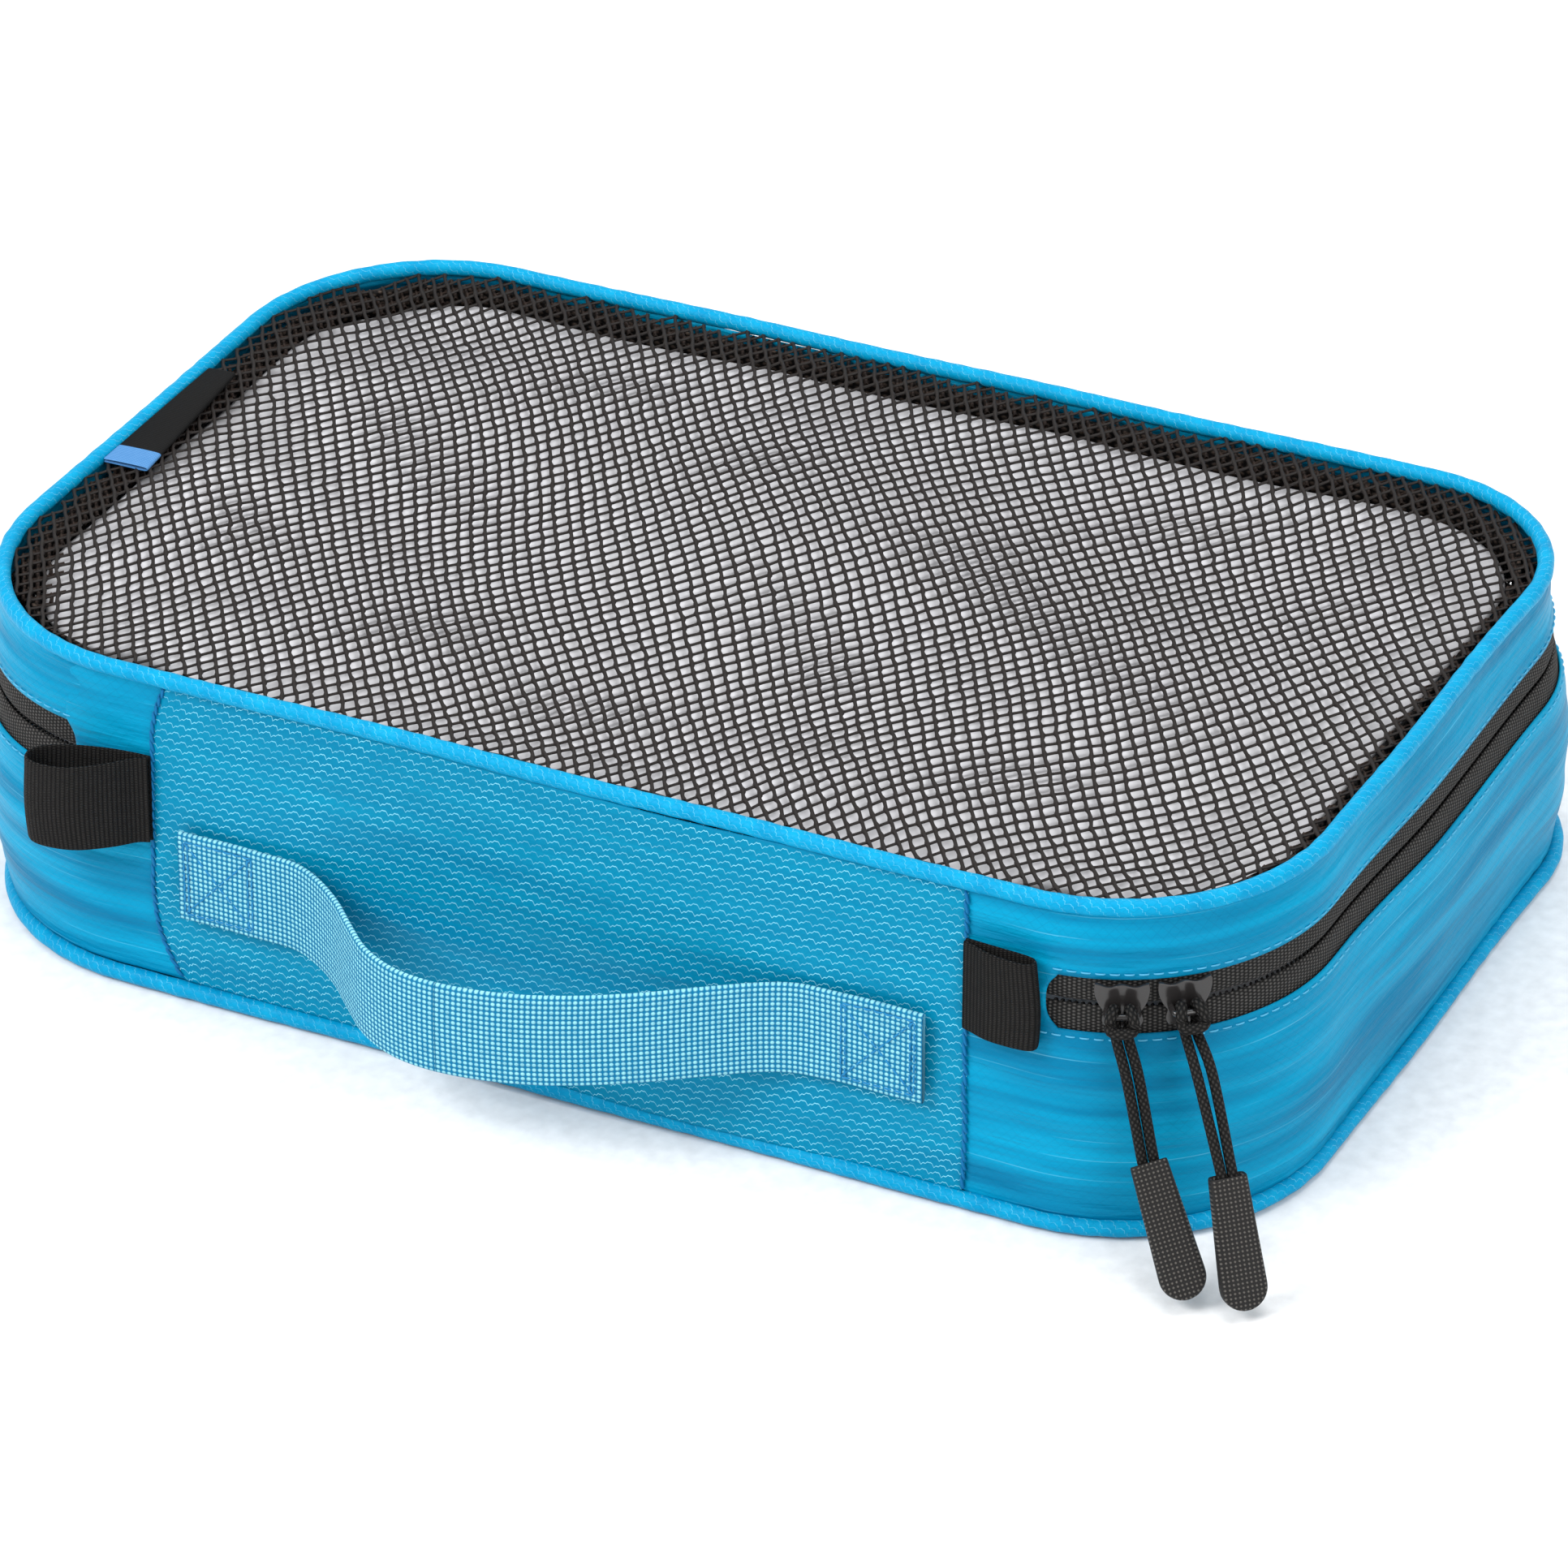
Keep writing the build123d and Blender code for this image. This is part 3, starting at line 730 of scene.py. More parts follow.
for level, z, body in (("bottom", PIPE_LOW_Z, "base"), ("top", PIPE_HIGH_Z, "lid")):
    piping_cover(f"{level}_piping_cloth", z, body, f"{level}_piping_cover")
    s = np.arange(300) * ROUND / 300
    line, _ = outline_points(z, 0.0, s)
    string = tubes_piece(f"{level}_piping_string", line[None], 1.2, piping_string, 8, closed=True)
    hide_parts(f"{level}_piping_cord")
    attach(string, body)
print("piping", round(2 * PIPE_R, 1), "mm thick")

# %% [markdown]
# Inside the piping stands the seam allowance of all the layers, bound with a soft brown tape. It
# is a thin upright strip all the way round, drawn in a little unevenly by its stitches.

# %% Seam bindings
def binding(name, low, high, body, node):
    """The bound seam allowance that stands inside the piping."""
    count = 330
    s = np.arange(count) * ROUND / count
    z = np.array([low, low + 0.5, (low + high) / 2, high - 0.5, high])
    inset = 5.0 + 0.35 * waves(s, 0 * s, 41, 4, (20, 60))
    points = np.stack([outline_points(level, inset[:, None], s)[0] for level in z])
    u = np.arange(count + 1) * ROUND / count
    strip = grid_piece(name, points, (z, u), binding_cloth, close_columns=True)
    thicken(strip, 1.0)
    smooth(strip)
    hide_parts(node)
    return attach(strip, body)


binding("bottom_binding", 1.6, 9.0, "base", "bottom_seam_binding")
binding("top_binding", 69.0, 76.0, "lid", "top_seam_binding")
print("bindings 5 mm inside the outline")

# %% [markdown]
# ## A disc that fits the outline
# The bottom panel and the stuffing need a sheet that fills the rounded rectangle with tidy
# quads. A square grid does this: each square ring of it is bent to the outline, scaled down.

# %% Bottom panel
def fill_outline(z, inset, count):
    """A square grid of points bent to the outline, and each point's ring from 0 to 1."""
    line = np.linspace(-1, 1, count)
    x, y = np.meshgrid(line, line)
    ring = np.maximum(np.abs(x), np.abs(y))
    safe = np.where(ring == 0, 1, ring)
    a, b = x / safe, y / safe
    near = 1 - 1e-9
    turn = np.where(a >= near, 3 + b, np.where(b >= near, 5 - a, np.where(a <= -near, 7 - b, 1 + a)))
    turn = np.where(b <= -near, 1 + a, turn)
    mid = EDGES[1::2][:4] + SIDES[1::2] / 2 - START
    stops = np.concatenate([[mid[-1] - ROUND], mid])
    edge, _ = outline_points(z, inset, np.interp(turn, (0, 2, 4, 6, 8), stops))
    return np.concatenate([edge[..., :2] * ring[..., None], edge[..., 2:]], -1), ring


FILL_COUNT = 61
points, ring = fill_outline(0.55, 0.6, FILL_COUNT)
ripple = 0.16 * np.sin(points[..., 0] / 17 + points[..., 1] / 31)
points[..., 2] += (1 - ring ** 6) * (0.35 + ripple)
across = np.linspace(-160, 160, FILL_COUNT)
bottom_panel = grid_piece("bottom_panel_cloth", points, (across * 0.64, across), side_cloth, flip=True)
thicken(bottom_panel, 0.5)
smooth(bottom_panel)
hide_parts("bottom_panel")
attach(bottom_panel, "base")
print("bottom panel:", len(bottom_panel.data.polygons), "faces before smoothing")

# %% [markdown]
# ## The mesh lid
# The lid is a warp-knitted net. Thick two-ply cords of loops run one way across it, and thinner double
# threads link them, so that the holes are diamonds about three millimetres across. The net rises and sinks in
# soft waves, and the clothes built below it follow its shape. It could be a see-through pattern on a flat
# sheet, but real strands cast real shadows on the clothes and look right from every side.

# %% How the net lies
NET_Z = (limits("mesh_panel")[0][2] + limits("mesh_panel")[1][2]) / 2


def net_height(x, y):
    """How the net rises and sinks over what is packed under it."""
    edge = np.minimum(158.0 - np.abs(x), 94.0 - np.abs(y)) / 26.0
    free = step(edge, 0.05, 1.0)
    soft = np.sin(x / 31 + y / 47 + 0.8) + 0.7 * np.sin(x / 19 - y / 27 + 2.0) + 0.5 * np.sin(y / 15 + x / 60)
    return NET_Z - 0.15 + free * (-0.9 + 0.95 * soft)


def inside_outline(points, z, inset):
    """Which points lie inside the rounded outline."""
    right, back = points[..., 0] > 0, points[..., 1] > 0
    radius = CORNER_RADII[np.where(back, np.where(right, 2, 3), np.where(right, 1, 0))]
    past = np.maximum(np.abs(points[..., :2]) - (half_size(z) - radius[..., None]), 0)
    return np.linalg.norm(past, axis=-1) < radius - inset


# %% [markdown]
# The knots stand on a slanted lattice: one step along a cord, one step across to the next cord.
# Slow waves bend the rows, as a net is pulled about when it is sewn in, and each knot is a
# little out of its place.

# %% Knots
RUNG, WALE = np.array((1.98, 2.62)), np.array((2.15, -3.03))
REACH, SHAKE = 75, 0.13
steps = np.arange(-REACH, REACH + 1)
i, j = (axis.ravel() for axis in np.meshgrid(steps, steps))
knots = i[:, None] * RUNG + j[:, None] * WALE
shake = np.random.default_rng(5).normal(0, SHAKE, knots.shape)
x, y = knots.T
bend_x = 1.6 * np.sin(y / 17 + x / 70 + 1.0) + 0.9 * np.sin(x / 26 - y / 41)
bend_y = 1.4 * np.sin(x / 21 + y / 52) + 0.8 * np.sin(x / 12.5 + 2.0)
knots = knots + shake + np.stack([bend_x, bend_y], -1)
keep = inside_outline(knots, NET_Z, 1.4)
kept = {(int(a), int(b)): spot for a, b, spot in zip(i[keep], j[keep], knots[keep])}
print("net:", len(kept), "knots")

# %% [markdown]
# Each strand is a short curved tube between two knots, thicker at its ends, where the loops are
# drawn together. The cords along the net bow up and to either side in turn, and each link across
# is a pair of threads that part in the middle.

# %% Strands
def strand_ends(step_i, step_j):
    """Pairs of neighbouring knots."""
    pairs = [(spot, kept[(a + step_i, b + step_j)]) for (a, b), spot in kept.items()
             if (a + step_i, b + step_j) in kept]
    return np.array(pairs)


def strands(pairs, count, bow, lift):
    """Curved lines between knots: bow is the swing sideways, lift the rise in the middle."""
    share = np.linspace(0, 1, count)[None, :, None]
    line = pairs[:, :1] * (1 - share) + pairs[:, 1:] * share
    ahead = pairs[:, 1] - pairs[:, 0]
    side = np.stack([-ahead[:, 1], ahead[:, 0]], -1) / np.linalg.norm(ahead, axis=1)[:, None]
    arch = np.sin(math.pi * share)
    line = line + side[:, None] * arch * np.asarray(bow)[..., None, None]
    z = net_height(line[..., 0], line[..., 1]) + lift * arch[..., 0]
    return np.concatenate([line, z[..., None]], -1)


def net_part(name, lines, end_radius, middle_radius, yarn, sides=4):
    """Many strands as one piece of the net, thicker at the knots."""
    radius = np.array([[end_radius, middle_radius, middle_radius, end_radius]])
    part = tubes_piece(name, lines, radius, yarn, sides, capped=False)
    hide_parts("mesh_panel")
    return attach(part, "lid")


POINTS, WALE_LIFT, RUNG_BOW = 4, 0.18, 0.20
wales, rungs = strand_ends(0, 1), strand_ends(1, 0)
sway = np.where(np.arange(len(wales)) % 2 == 0, 0.16, -0.16)
net_part("net_wales", strands(wales, POINTS, sway, WALE_LIFT), 0.64, 0.44, mesh_yarn, 5)
for name, bow in (("net_rungs", RUNG_BOW), ("net_rungs_b", -RUNG_BOW)):
    net_part(name, strands(rungs, POINTS, np.full(len(rungs), bow), 0.0), 0.41, 0.245, mesh_yarn)
print("strands:", len(wales), "along and", len(rungs), "pairs across")

# %% [markdown]
# The net's edge is turned in under it before it is sewn to the piping, so a second layer shows
# through the first along the back and the sides. It lies a little lower and a little shifted.

# %% Hem of the net
WALE_DEPTH, RUNG_DEPTH, HEM_DROP = 8.97, 9.0, 1.5
HEM_SHIFT = np.array((1.3, 0.6))


def in_hem(pairs, depth):
    """Which strands lie in the hem; none shows along the handle side."""
    x, y = pairs[:, 0, 0], pairs[:, 0, 1]
    inner = inside_outline(pairs[:, 0], NET_Z, depth)
    return ~inner & ((y > -60) | (np.abs(x) > 140))


wale_hem, rung_hem = in_hem(wales, WALE_DEPTH), in_hem(rungs, RUNG_DEPTH)
# The hem's strands use the lighter yarn: the same yarn with a painted highlight.
layers = (
    ("net_hem_wales", wales[wale_hem], sway[wale_hem], WALE_LIFT, 0.62, 0.45),
    ("net_hem_rungs", rungs[rung_hem], np.full(rung_hem.sum(), RUNG_BOW), 0.0, 0.42, 0.30),
)
for name, pairs, bow, lift, end_radius, middle_radius in layers:
    lines = strands(pairs + HEM_SHIFT, POINTS, bow, lift)
    lines[..., 2] -= HEM_DROP
    net_part(name, lines, end_radius, middle_radius, lit_hem_yarn)
print("hem:", wale_hem.sum() + rung_hem.sum(), "strands")

# %% [markdown]
# ## Stitches
# Every row of stitching is a mesh of small short tubes, laid along a path on the cloth. The ends
# of each stitch get thinner and dip into the cloth, where the needle went through. A bump map
# could show the thread, but small meshes keep their shape close up.

# %% Stitch rows
def stitch_row(name, path, outward, material, length=2.2, pitch=3.0, radius=0.19, proud=0.08, slant=0.0):
    """Stitches along a path of points; outward gives the cloth's direction at each point."""
    path, outward = np.asarray(path, float), np.asarray(outward, float)
    gaps = np.linalg.norm(np.diff(path, axis=0), axis=1)
    travel = np.concatenate([[0], np.cumsum(gaps)])
    count = max(1, int(travel[-1] / pitch))
    starts = (np.arange(count) + 0.5) * travel[-1] / count - length / 2
    share = np.array([0, 0.12, 0.3, 0.7, 0.88, 1.0])
    dip = np.array([-0.30, 0.02, proud, proud, 0.02, -0.30])
    where = np.clip(starts[:, None] + share * length, 0, travel[-1])
    line = np.stack([np.interp(where, travel, path[:, k]) for k in range(3)], -1)
    out = np.stack([np.interp(where, travel, outward[:, k]) for k in range(3)], -1)
    along = line[:, -1] - line[:, 0]
    side = np.cross(out[:, 0], along / np.linalg.norm(along, axis=1, keepdims=True))
    line = line + out * dip[None, :, None] + side[:, None] * ((share - 0.5) * slant)[None, :, None]
    return tubes_piece(name, line, np.array([[0.5, 0.9, 1.0, 1.0, 0.9, 0.5]]) * radius, material, 5)


windows = (
    ("lower_window_stitches", (S_RIGHT_END - 14, S_LEFT_END + 14), ZIP_LOW - 1.5, "base"),
    ("upper_window_stitches", (S_RIGHT_END + 1, S_LEFT_END - 1), ZIP_HIGH + 1.6, "lid"),
)
for name, ends, z, body in windows:
    points, outward = wall(np.linspace(*ends, 900), z, 0.02)
    row = stitch_row(name, points, outward, pale_thread)
    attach(row, body)
for name, seam, edge, inwards in (("right", SEAM_RIGHT, 1, -0.3), ("left", SEAM_LEFT, 0, 0.3)):
    z = np.linspace(FOOT + 1.5, HEAD - 1, 90)
    points, outward = wall(seam + panel_corner(z)[edge] + inwards, z, PANEL_OUT + 0.05)
    row = stitch_row(f"seam_stitches_{name}", points, outward, blue_thread,
                     length=2.9, pitch=2.3, radius=0.38, slant=0.9)
    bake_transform(row)
print("stitch rows: two along the zip, two on the panel's seams")

# %% [markdown]
# ## Ribbons
# The handle and the loops are flat tapes. A curve with a flat bevel would be one way to make
# them. A function that sweeps a tape's width along a path also rounds its edges, lets it lean
# and cup, and gives it a UV map in millimetres. The path lies level on the wall: how far along
# the box, and how far out from the cloth.

# %% Smooth paths
def smooth_line(points, count):
    """A smooth curve through points, with Catmull-Rom weights, spaced evenly."""
    points = np.asarray(points, float)
    padded = np.concatenate([points[:1] * 2 - points[1:2], points, points[-1:] * 2 - points[-2:-1]])
    curve = []
    for k in range(len(points) - 1):
        a, b, c, d = padded[k:k + 4]
        t = np.linspace(0, 1, 24, endpoint=False)[:, None]
        curve.append(0.5 * (2 * b + (c - a) * t + (2 * a - 5 * b + 4 * c - d) * t ** 2
                            + (3 * b - a - 3 * c + d) * t ** 3))
    curve = np.concatenate(curve + [points[-1:]])
    travel = np.concatenate([[0], np.cumsum(np.linalg.norm(np.diff(curve, axis=0), axis=1))])
    even = np.linspace(0, travel[-1], count)
    return np.stack([np.interp(even, travel, curve[:, k]) for k in range(points.shape[1])], -1), travel[-1]


def front_point(x, out, z):
    """A point in front of the handle side: out is measured from the plain wall."""
    x, out, z = np.broadcast_arrays(np.asarray(x, float), np.asarray(out, float), np.asarray(z, float))
    return np.stack([x, -half_size(z)[..., 1] - out, z], -1)


# %% [markdown]
# The tape's cross-section is one closed loop of points: up its front and down its back, closer
# together at its edges. The two ends are closed with quads between front and back.

# %% Ribbons
def ribbon(name, path, foot, width, thick, material, wave, climb=None):
    """A tape along a level path of (x, out), from height foot. wave adds to (x, out) by row and x,
    and climb adds a height by x."""
    count = int(np.ptp(np.asarray(path)[:, 0]) / 1.1) + 30
    path, length = smooth_line(path, count)
    ahead = np.gradient(path, axis=0)
    ahead /= np.linalg.norm(ahead, axis=1, keepdims=True)
    side = np.stack([-ahead[:, 1], ahead[:, 0]], -1)
    rows = np.concatenate([[0, 0.35], np.linspace(1.2, width - 1.2, 15), [width - 0.35, width]])
    half = thick / 2 * np.concatenate([[0.45, 0.9], np.ones(15), [0.9, 0.45]])
    loop_rows = np.concatenate([rows, rows[::-1]])
    loop_half = np.concatenate([half, -half[::-1]])
    flat = path[None] + side[None] * loop_half[:, None, None]
    flat = flat + wave(loop_rows[:, None], path[None, :, 0])
    rise = 0.0 if climb is None else climb(flat[..., 0])
    points = front_point(flat[..., 0], flat[..., 1], foot + rise + loop_rows[:, None])
    u = np.linspace(0, length, count)
    v = np.append(loop_rows, loop_rows[0])
    faces, places = grid_faces(len(loop_rows), count, True, False)
    uv = np.stack([u[places[..., 1]], v[places[..., 0]]], -1)
    k = np.arange(len(rows) - 1)
    last = len(loop_rows) - 1
    end_quads = np.stack([k, k + 1, last - 1 - k, last - k], -1) * count
    ends = np.concatenate([end_quads[:, ::-1], end_quads + count - 1])
    end_uv = np.stack([np.full(ends.shape, 0.3), ends // count * 0.5], -1)
    return make_piece(name, points, np.concatenate([faces, ends]), material, np.concatenate([uv, end_uv]))


# %% [markdown]
# ## The handle
# The handle is one length of webbing, sewn flat at both ends with a box and a cross, and longer than the gap
# between them, so it bows out for the fingers. It is one piece of cloth that leaves its sewn ends gently when
# it is lifted. The strap is built in two halves that meet near its middle.

# %% Handle webbing
WEB_FOOT, WEB_HEAD = limits("handle_strap")[0][2], limits("handle_end_left")[1][2]
WEB_WIDTH = WEB_HEAD - WEB_FOOT - 0.8
STRAP_LEFT = limits("handle_end_left")[0][0] + 1.2
STRAP_RIGHT = limits("handle_end_right")[1][0] + 1.8
SEWN = limits("handle_end_left")[1][0] - STRAP_LEFT
STRAP_THICK, MEET = 1.4, -10.0
flat_out = float(np.max(swell(np.linspace(-92, 89, 90), 34.0))) * 0.9 + 1.05
bow = [(STRAP_LEFT, flat_out), (-84, flat_out), (-76, flat_out), (-69.5, flat_out + 0.15),
       (-61, 3.9), (-53.5, 7.0), (-45.5, 12.6), (-38, 19.6), (-30, 26.4), (-20, 30.8), (-8, 31.6),
       (6, 29.2), (19, 24.8), (32, 18.6), (43, 12.2), (53, 6.6), (60.5, 3.9),
       (67, flat_out + 0.15), (74, flat_out), (81, flat_out), (STRAP_RIGHT, flat_out)]
bow_path, bow_length = smooth_line(bow, 400)


def strap_wave(row, x):
    """A slight cup and twist in the webbing, nothing at its sewn ends."""
    free = step(x, -72, -40) * (1 - step(x, 38, 68))
    cup = 0.35 * np.cos((row / WEB_WIDTH - 0.5) * math.pi) * free
    ripple = 0.10 * np.sin(x / 3.1 + row / 5.0) * (1 - free)
    return np.stack([np.zeros_like(ripple), cup + ripple], -1)


def strap_climb(x):
    """The right end is sewn on a little higher than the left."""
    return 2.6 * step(x, 0, 75)


split = int(np.argmin(np.abs(bow_path[:, 0] - MEET)))
halves = (
    ("left", bow_path[:split + 1:4], bow_path[split], -0.070, -0.045),
    ("right", bow_path[split::4], bow_path[-1], 0.067, 0.045),
)
for name, path, last, start, end in halves:
    strap = ribbon(f"handle_webbing_{name}", np.concatenate([path, last[None]]), WEB_FOOT, WEB_WIDTH,
                   STRAP_THICK, webbing_cloth, strap_wave, strap_climb)
    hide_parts("handle_strap", f"handle_end_{name}")
    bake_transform(strap)
print("handle webbing:", round(bow_length), "mm of it")

# %% [markdown]
# A box with a cross spreads the load of a sewn end. Its two upright sides are sewn twice.

# %% Box and cross
STITCH_INSET = 1.8
box = []
for left in (STRAP_LEFT + 1.6, STRAP_RIGHT - SEWN + 1.4):
    right = left + SEWN - 3.2
    low = WEB_FOOT + STITCH_INSET + float(strap_climb(left + SEWN / 2))
    high = low + WEB_WIDTH - 2 * STITCH_INSET
    for inset in (0.0, 1.0):
        box.append([(left + inset, low), (left + inset, high)])
        box.append([(right - inset, low), (right - inset, high)])
    box.extend([[(left, low), (right, low)], [(left, high), (right, high)],
                [(left, low), (right, high)], [(left, high), (right, low)]])
share = np.linspace(0, 1, 30)[:, None]
forwards = np.tile((0.0, -1.0, 0.0), (len(share), 1))
for k, (start, end) in enumerate(box):
    flat = np.array(start) * (1 - share) + np.array(end) * share
    points = front_point(flat[:, 0], flat_out + STRAP_THICK / 2 + 0.02, flat[:, 1])
    row = stitch_row(f"box_stitch_{k:02d}", points, forwards, strap_thread,
                     length=2.0, pitch=2.3, radius=0.24, proud=0.12)
    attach(row, "base")
print("box and cross:", len(box), "rows")

# %% [markdown]
# ## The side loops
# Each loop is a folded strip of grosgrain whose ends are caught in the seam of the handle panel.
# The left loop stands open and the right one lies flat on the cloth with a small gap in its fold.

# %% Loops
LOOP_WIDTH = limits("loop_right")[1][2] - limits("loop_right")[0][2]
LOOP_THICK = 0.75
wall_right = float(swell(106.0, 50.0)) + 0.35
wall_left = float(swell(-108.0, 47.0)) + 0.35
right_route = [(SEAM_RIGHT - 0.3, 0.2), (105, 0.45), (111, 0.5), (114.6, 0.9), (115.7, 2.2),
               (114.6, 3.6), (110.6, 3.9), (105, 3.3), (101, 1.9), (SEAM_RIGHT - 0.2, 1.1)]
left_route = [(SEAM_LEFT + 0.3, 0.2), (-103, 0.4), (-109, 1.0), (-116, 2.6), (-121.5, 5.0), (-124.0, 8.4),
              (-122.6, 11.5), (-118, 12.4), (-111.5, 11.0), (-105, 6.4), (-101, 2.4), (SEAM_LEFT + 0.2, 1.1)]


def loop_wave(row, x):
    """The free fold leans and flares a little towards its top."""
    far = step(np.abs(x), 100, 116)
    lean = (row / LOOP_WIDTH - 0.5) * far
    return np.stack([0.5 * np.sin(row / 5.0) * far * np.sign(x), 0.9 * lean], -1)


for name, route, on_wall in (("right", right_route, wall_right), ("left", left_route, wall_left)):
    loop = ribbon(f"grosgrain_{name}", np.array(route) + (0, on_wall), limits(f"loop_{name}")[0][2] + 1.0,
                  LOOP_WIDTH - 1.2, LOOP_THICK, grosgrain_cloth, loop_wave)
    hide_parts(f"loop_{name}")
    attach(loop, "base")
print("loops:", round(LOOP_WIDTH, 1), "mm wide")

# %% [markdown]
# ## The sliders
# Each slider is a small enamelled casting: a winged plate outside the zip, a neck between the
# tapes, an inner wing, and a bridge bar that the cord is looped through. The plate is curved to
# the corner, and its upper edge has two lobes. A coarse bent plate with Bevel and Subdivision
# Surface has the soft edges of a casting, which a Boolean cut would not.

# %% Bent plates
def corner_point(angle, radius, z):
    """A point by its angle from the handle side, in degrees, its radius and its height."""
    turn = np.radians(np.asarray(angle, float))
    turn, radius, z = np.broadcast_arrays(turn, radius, z)
    return np.stack([CORNER[0] + radius * np.sin(turn), CORNER[1] - radius * np.cos(turn), z], -1)


ACROSS = 11
AROUND = 2 * ACROSS


def slab(name, angle, outline, inner, outer, levels=2):
    """A plate bent round the corner, from rows of a height and its left and right edges in mm."""
    height, left, right = np.array(outline, float).T[..., None]
    across = left + (right - left) * np.linspace(0, 1, ACROSS)
    lobes = 0.42 * np.cos(across / 2.7 * math.pi) * step(height, 1.2, 5.0)
    turn = angle + np.degrees(across / outer)
    front = corner_point(turn, outer, ZIP_Z + height + lobes)
    back = corner_point(turn, inner, ZIP_Z + height + lobes)
    faces, _ = grid_faces(len(outline), AROUND, False, True)
    k = np.arange(ACROSS - 1)
    cap = np.stack([k, k + 1, AROUND - 2 - k, AROUND - 1 - k], -1)
    caps = [cap, cap[:, ::-1] + (len(outline) - 1) * AROUND]
    points = np.concatenate([front, back[:, ::-1]], axis=1)
    piece = make_piece(name, points, np.concatenate([faces[:, ::-1], *caps]), enamel)
    modify(piece, "BEVEL", width=0.16 * MM, segments=2, limit_method="ANGLE", angle_limit=math.radians(50))
    smooth(piece, levels)
    return piece


def slider_angle(node):
    """The slider's angle round the corner, from the middle of its box."""
    low, high = limits(node)
    middle = (low + high) / 2
    return math.degrees(math.atan2(middle[0] - CORNER[0], CORNER[1] - middle[1]))


# %% [markdown]
# The plate is wide at the top, where the two halves of the zip come together, and drawn in at
# its waist. Each row below is a height and the edges there. The bar is a bent rod.

# %% Sliders
WINGS = [(-4.4, -3.6, 3.6), (-3.2, -4.4, 4.4), (-2.0, -4.2, 4.2), (-0.8, -3.8, 3.8),
         (0.6, -4.8, 4.8), (2.4, -5.6, 5.6), (4.4, -5.9, 5.9), (5.5, -5.6, 5.6)]
INNER = [(-4.3, -4.2, 4.2), (-2.5, -4.8, 4.8), (-0.6, -4.2, 4.2), (0.1, -3.6, 3.6)]
NECK = [(-0.22, -1.3, 1.3), (0.22, -1.3, 1.3)]
PLATE_R, PLATE_THICK = CORNER_R + 0.25, 0.9
BAR_R, BAR_THICK = CORNER_R + 4.2, 1.5
BAR_SIDE = [(3.3, PLATE_R + 0.5), (3.3, PLATE_R + 2.4), (3.1, BAR_R - 0.6), (2.5, BAR_R)]
BAR = [(-along, radius) for along, radius in BAR_SIDE] + [(0, BAR_R)] + BAR_SIDE[::-1]
angles = {"left": slider_angle("slider_left"), "right": slider_angle("slider_right")}
for name, angle in angles.items():
    pieces = [
        slab(f"slider_plate_{name}", angle, WINGS, PLATE_R, PLATE_R + PLATE_THICK),
        slab(f"slider_inner_{name}", angle, INNER, CORNER_R - 2.7, CORNER_R - 1.9),
        slab(f"slider_neck_{name}", angle, NECK, CORNER_R - 2.2, PLATE_R + 0.4, 1),
    ]
    bar = [corner_point(angle + np.degrees(along / BAR_R), radius, ZIP_Z) for along, radius in BAR]
    bar_line, _ = smooth_line(bar, 40)
    pieces.append(tubes_piece(f"slider_bar_{name}", bar_line[None], BAR_THICK / 2, enamel, 10))
    for piece in pieces:
        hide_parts(f"slider_{name}")
        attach(piece, f"{name}_slider")
    print(name, "slider at", round(angle), "degrees round the corner")

# %% [markdown]
# ## The pulls
# Each pull is one braided cord folded in half, with both ends in a rubber grip. The braid is two sets of fine
# yarns wound opposite ways, so that light catches a small diamond pattern, which is painted into its colour
# as highlights on the crossings. The grip is a flat tongue, dotted so that fingers don't slip on it, and its
# dots are painted lighter as highlights.

# %% Braid and rubber
def braided():
    """Braided polyester: two sets of thin yarns that cross round the cord, from the tube's own UV, with the
    crossings painted lighter as a painted highlight.
    """
    material, tree, shader = start_material("braided cord", Roughness=0.7, Specular_IOR_Level=0.15)
    _, u, v = cloth_axes(tree)
    along = add(tree, "Math", (u, 1.5), operation="DIVIDE")
    sets = []
    for lean in ("ADD", "SUBTRACT"):
        winding = add(tree, "Math", (along, v), operation=lean)
        sets.append(add(tree, "Math", (winding, 0.5), operation="PINGPONG"))
    crossing = add(tree, "Math", sets, operation="MULTIPLY")
    height = add(tree, "Math", (crossing, 4.0), operation="MULTIPLY")
    # The yarn crossings get the lighter colour, a painted highlight, and the dark between them is painted
    # shade.
    share = add(tree, "MapRange", (height, 0.1, 0.9))
    colour = add(tree, "Mix", {0: share, 6: linear("080808"), 7: linear("3E3C3A")}, data_type="RGBA")
    finish(tree, shader, colour, add(tree, "Bump", {"Height": height, "Distance": 0.28 * MM}))
    return material


def dotted_rubber():
    """Moulded soft black plastic, half matt, with a fine grid of raised dots, which are painted lighter grey
    as highlights.
    """
    material, tree, shader = start_material("grip rubber with dots", Roughness=0.55, Specular_IOR_Level=0.2)
    _, u, v = cloth_axes(tree)
    # The raised dots are painted lighter: a painted highlight on the same black rubber.
    share = add(tree, "MapRange", (yarn_grid(tree, u, v, 0.95, 0.95), 0.25, 0.6))
    colour = add(tree, "Mix", {0: share, 6: linear("1C1B1B"), 7: linear("5C5955")}, data_type="RGBA")
    finish(tree, shader, colour, add(tree, "Bump", {"Height": share, "Distance": 0.3 * MM}))
    return material


cord_cloth, grip_rubber = braided(), dotted_rubber()
print("materials:", cord_cloth.name, "and", grip_rubber.name)

# %% [markdown]
# The fold goes behind the bridge bar and comes back over the cord's own legs, which is a lark's head hitch.
# The points are listed for one leg, from the grip up over the bar, and the other leg mirrors them. The cord
# is one tube along one line, from one end to the other.

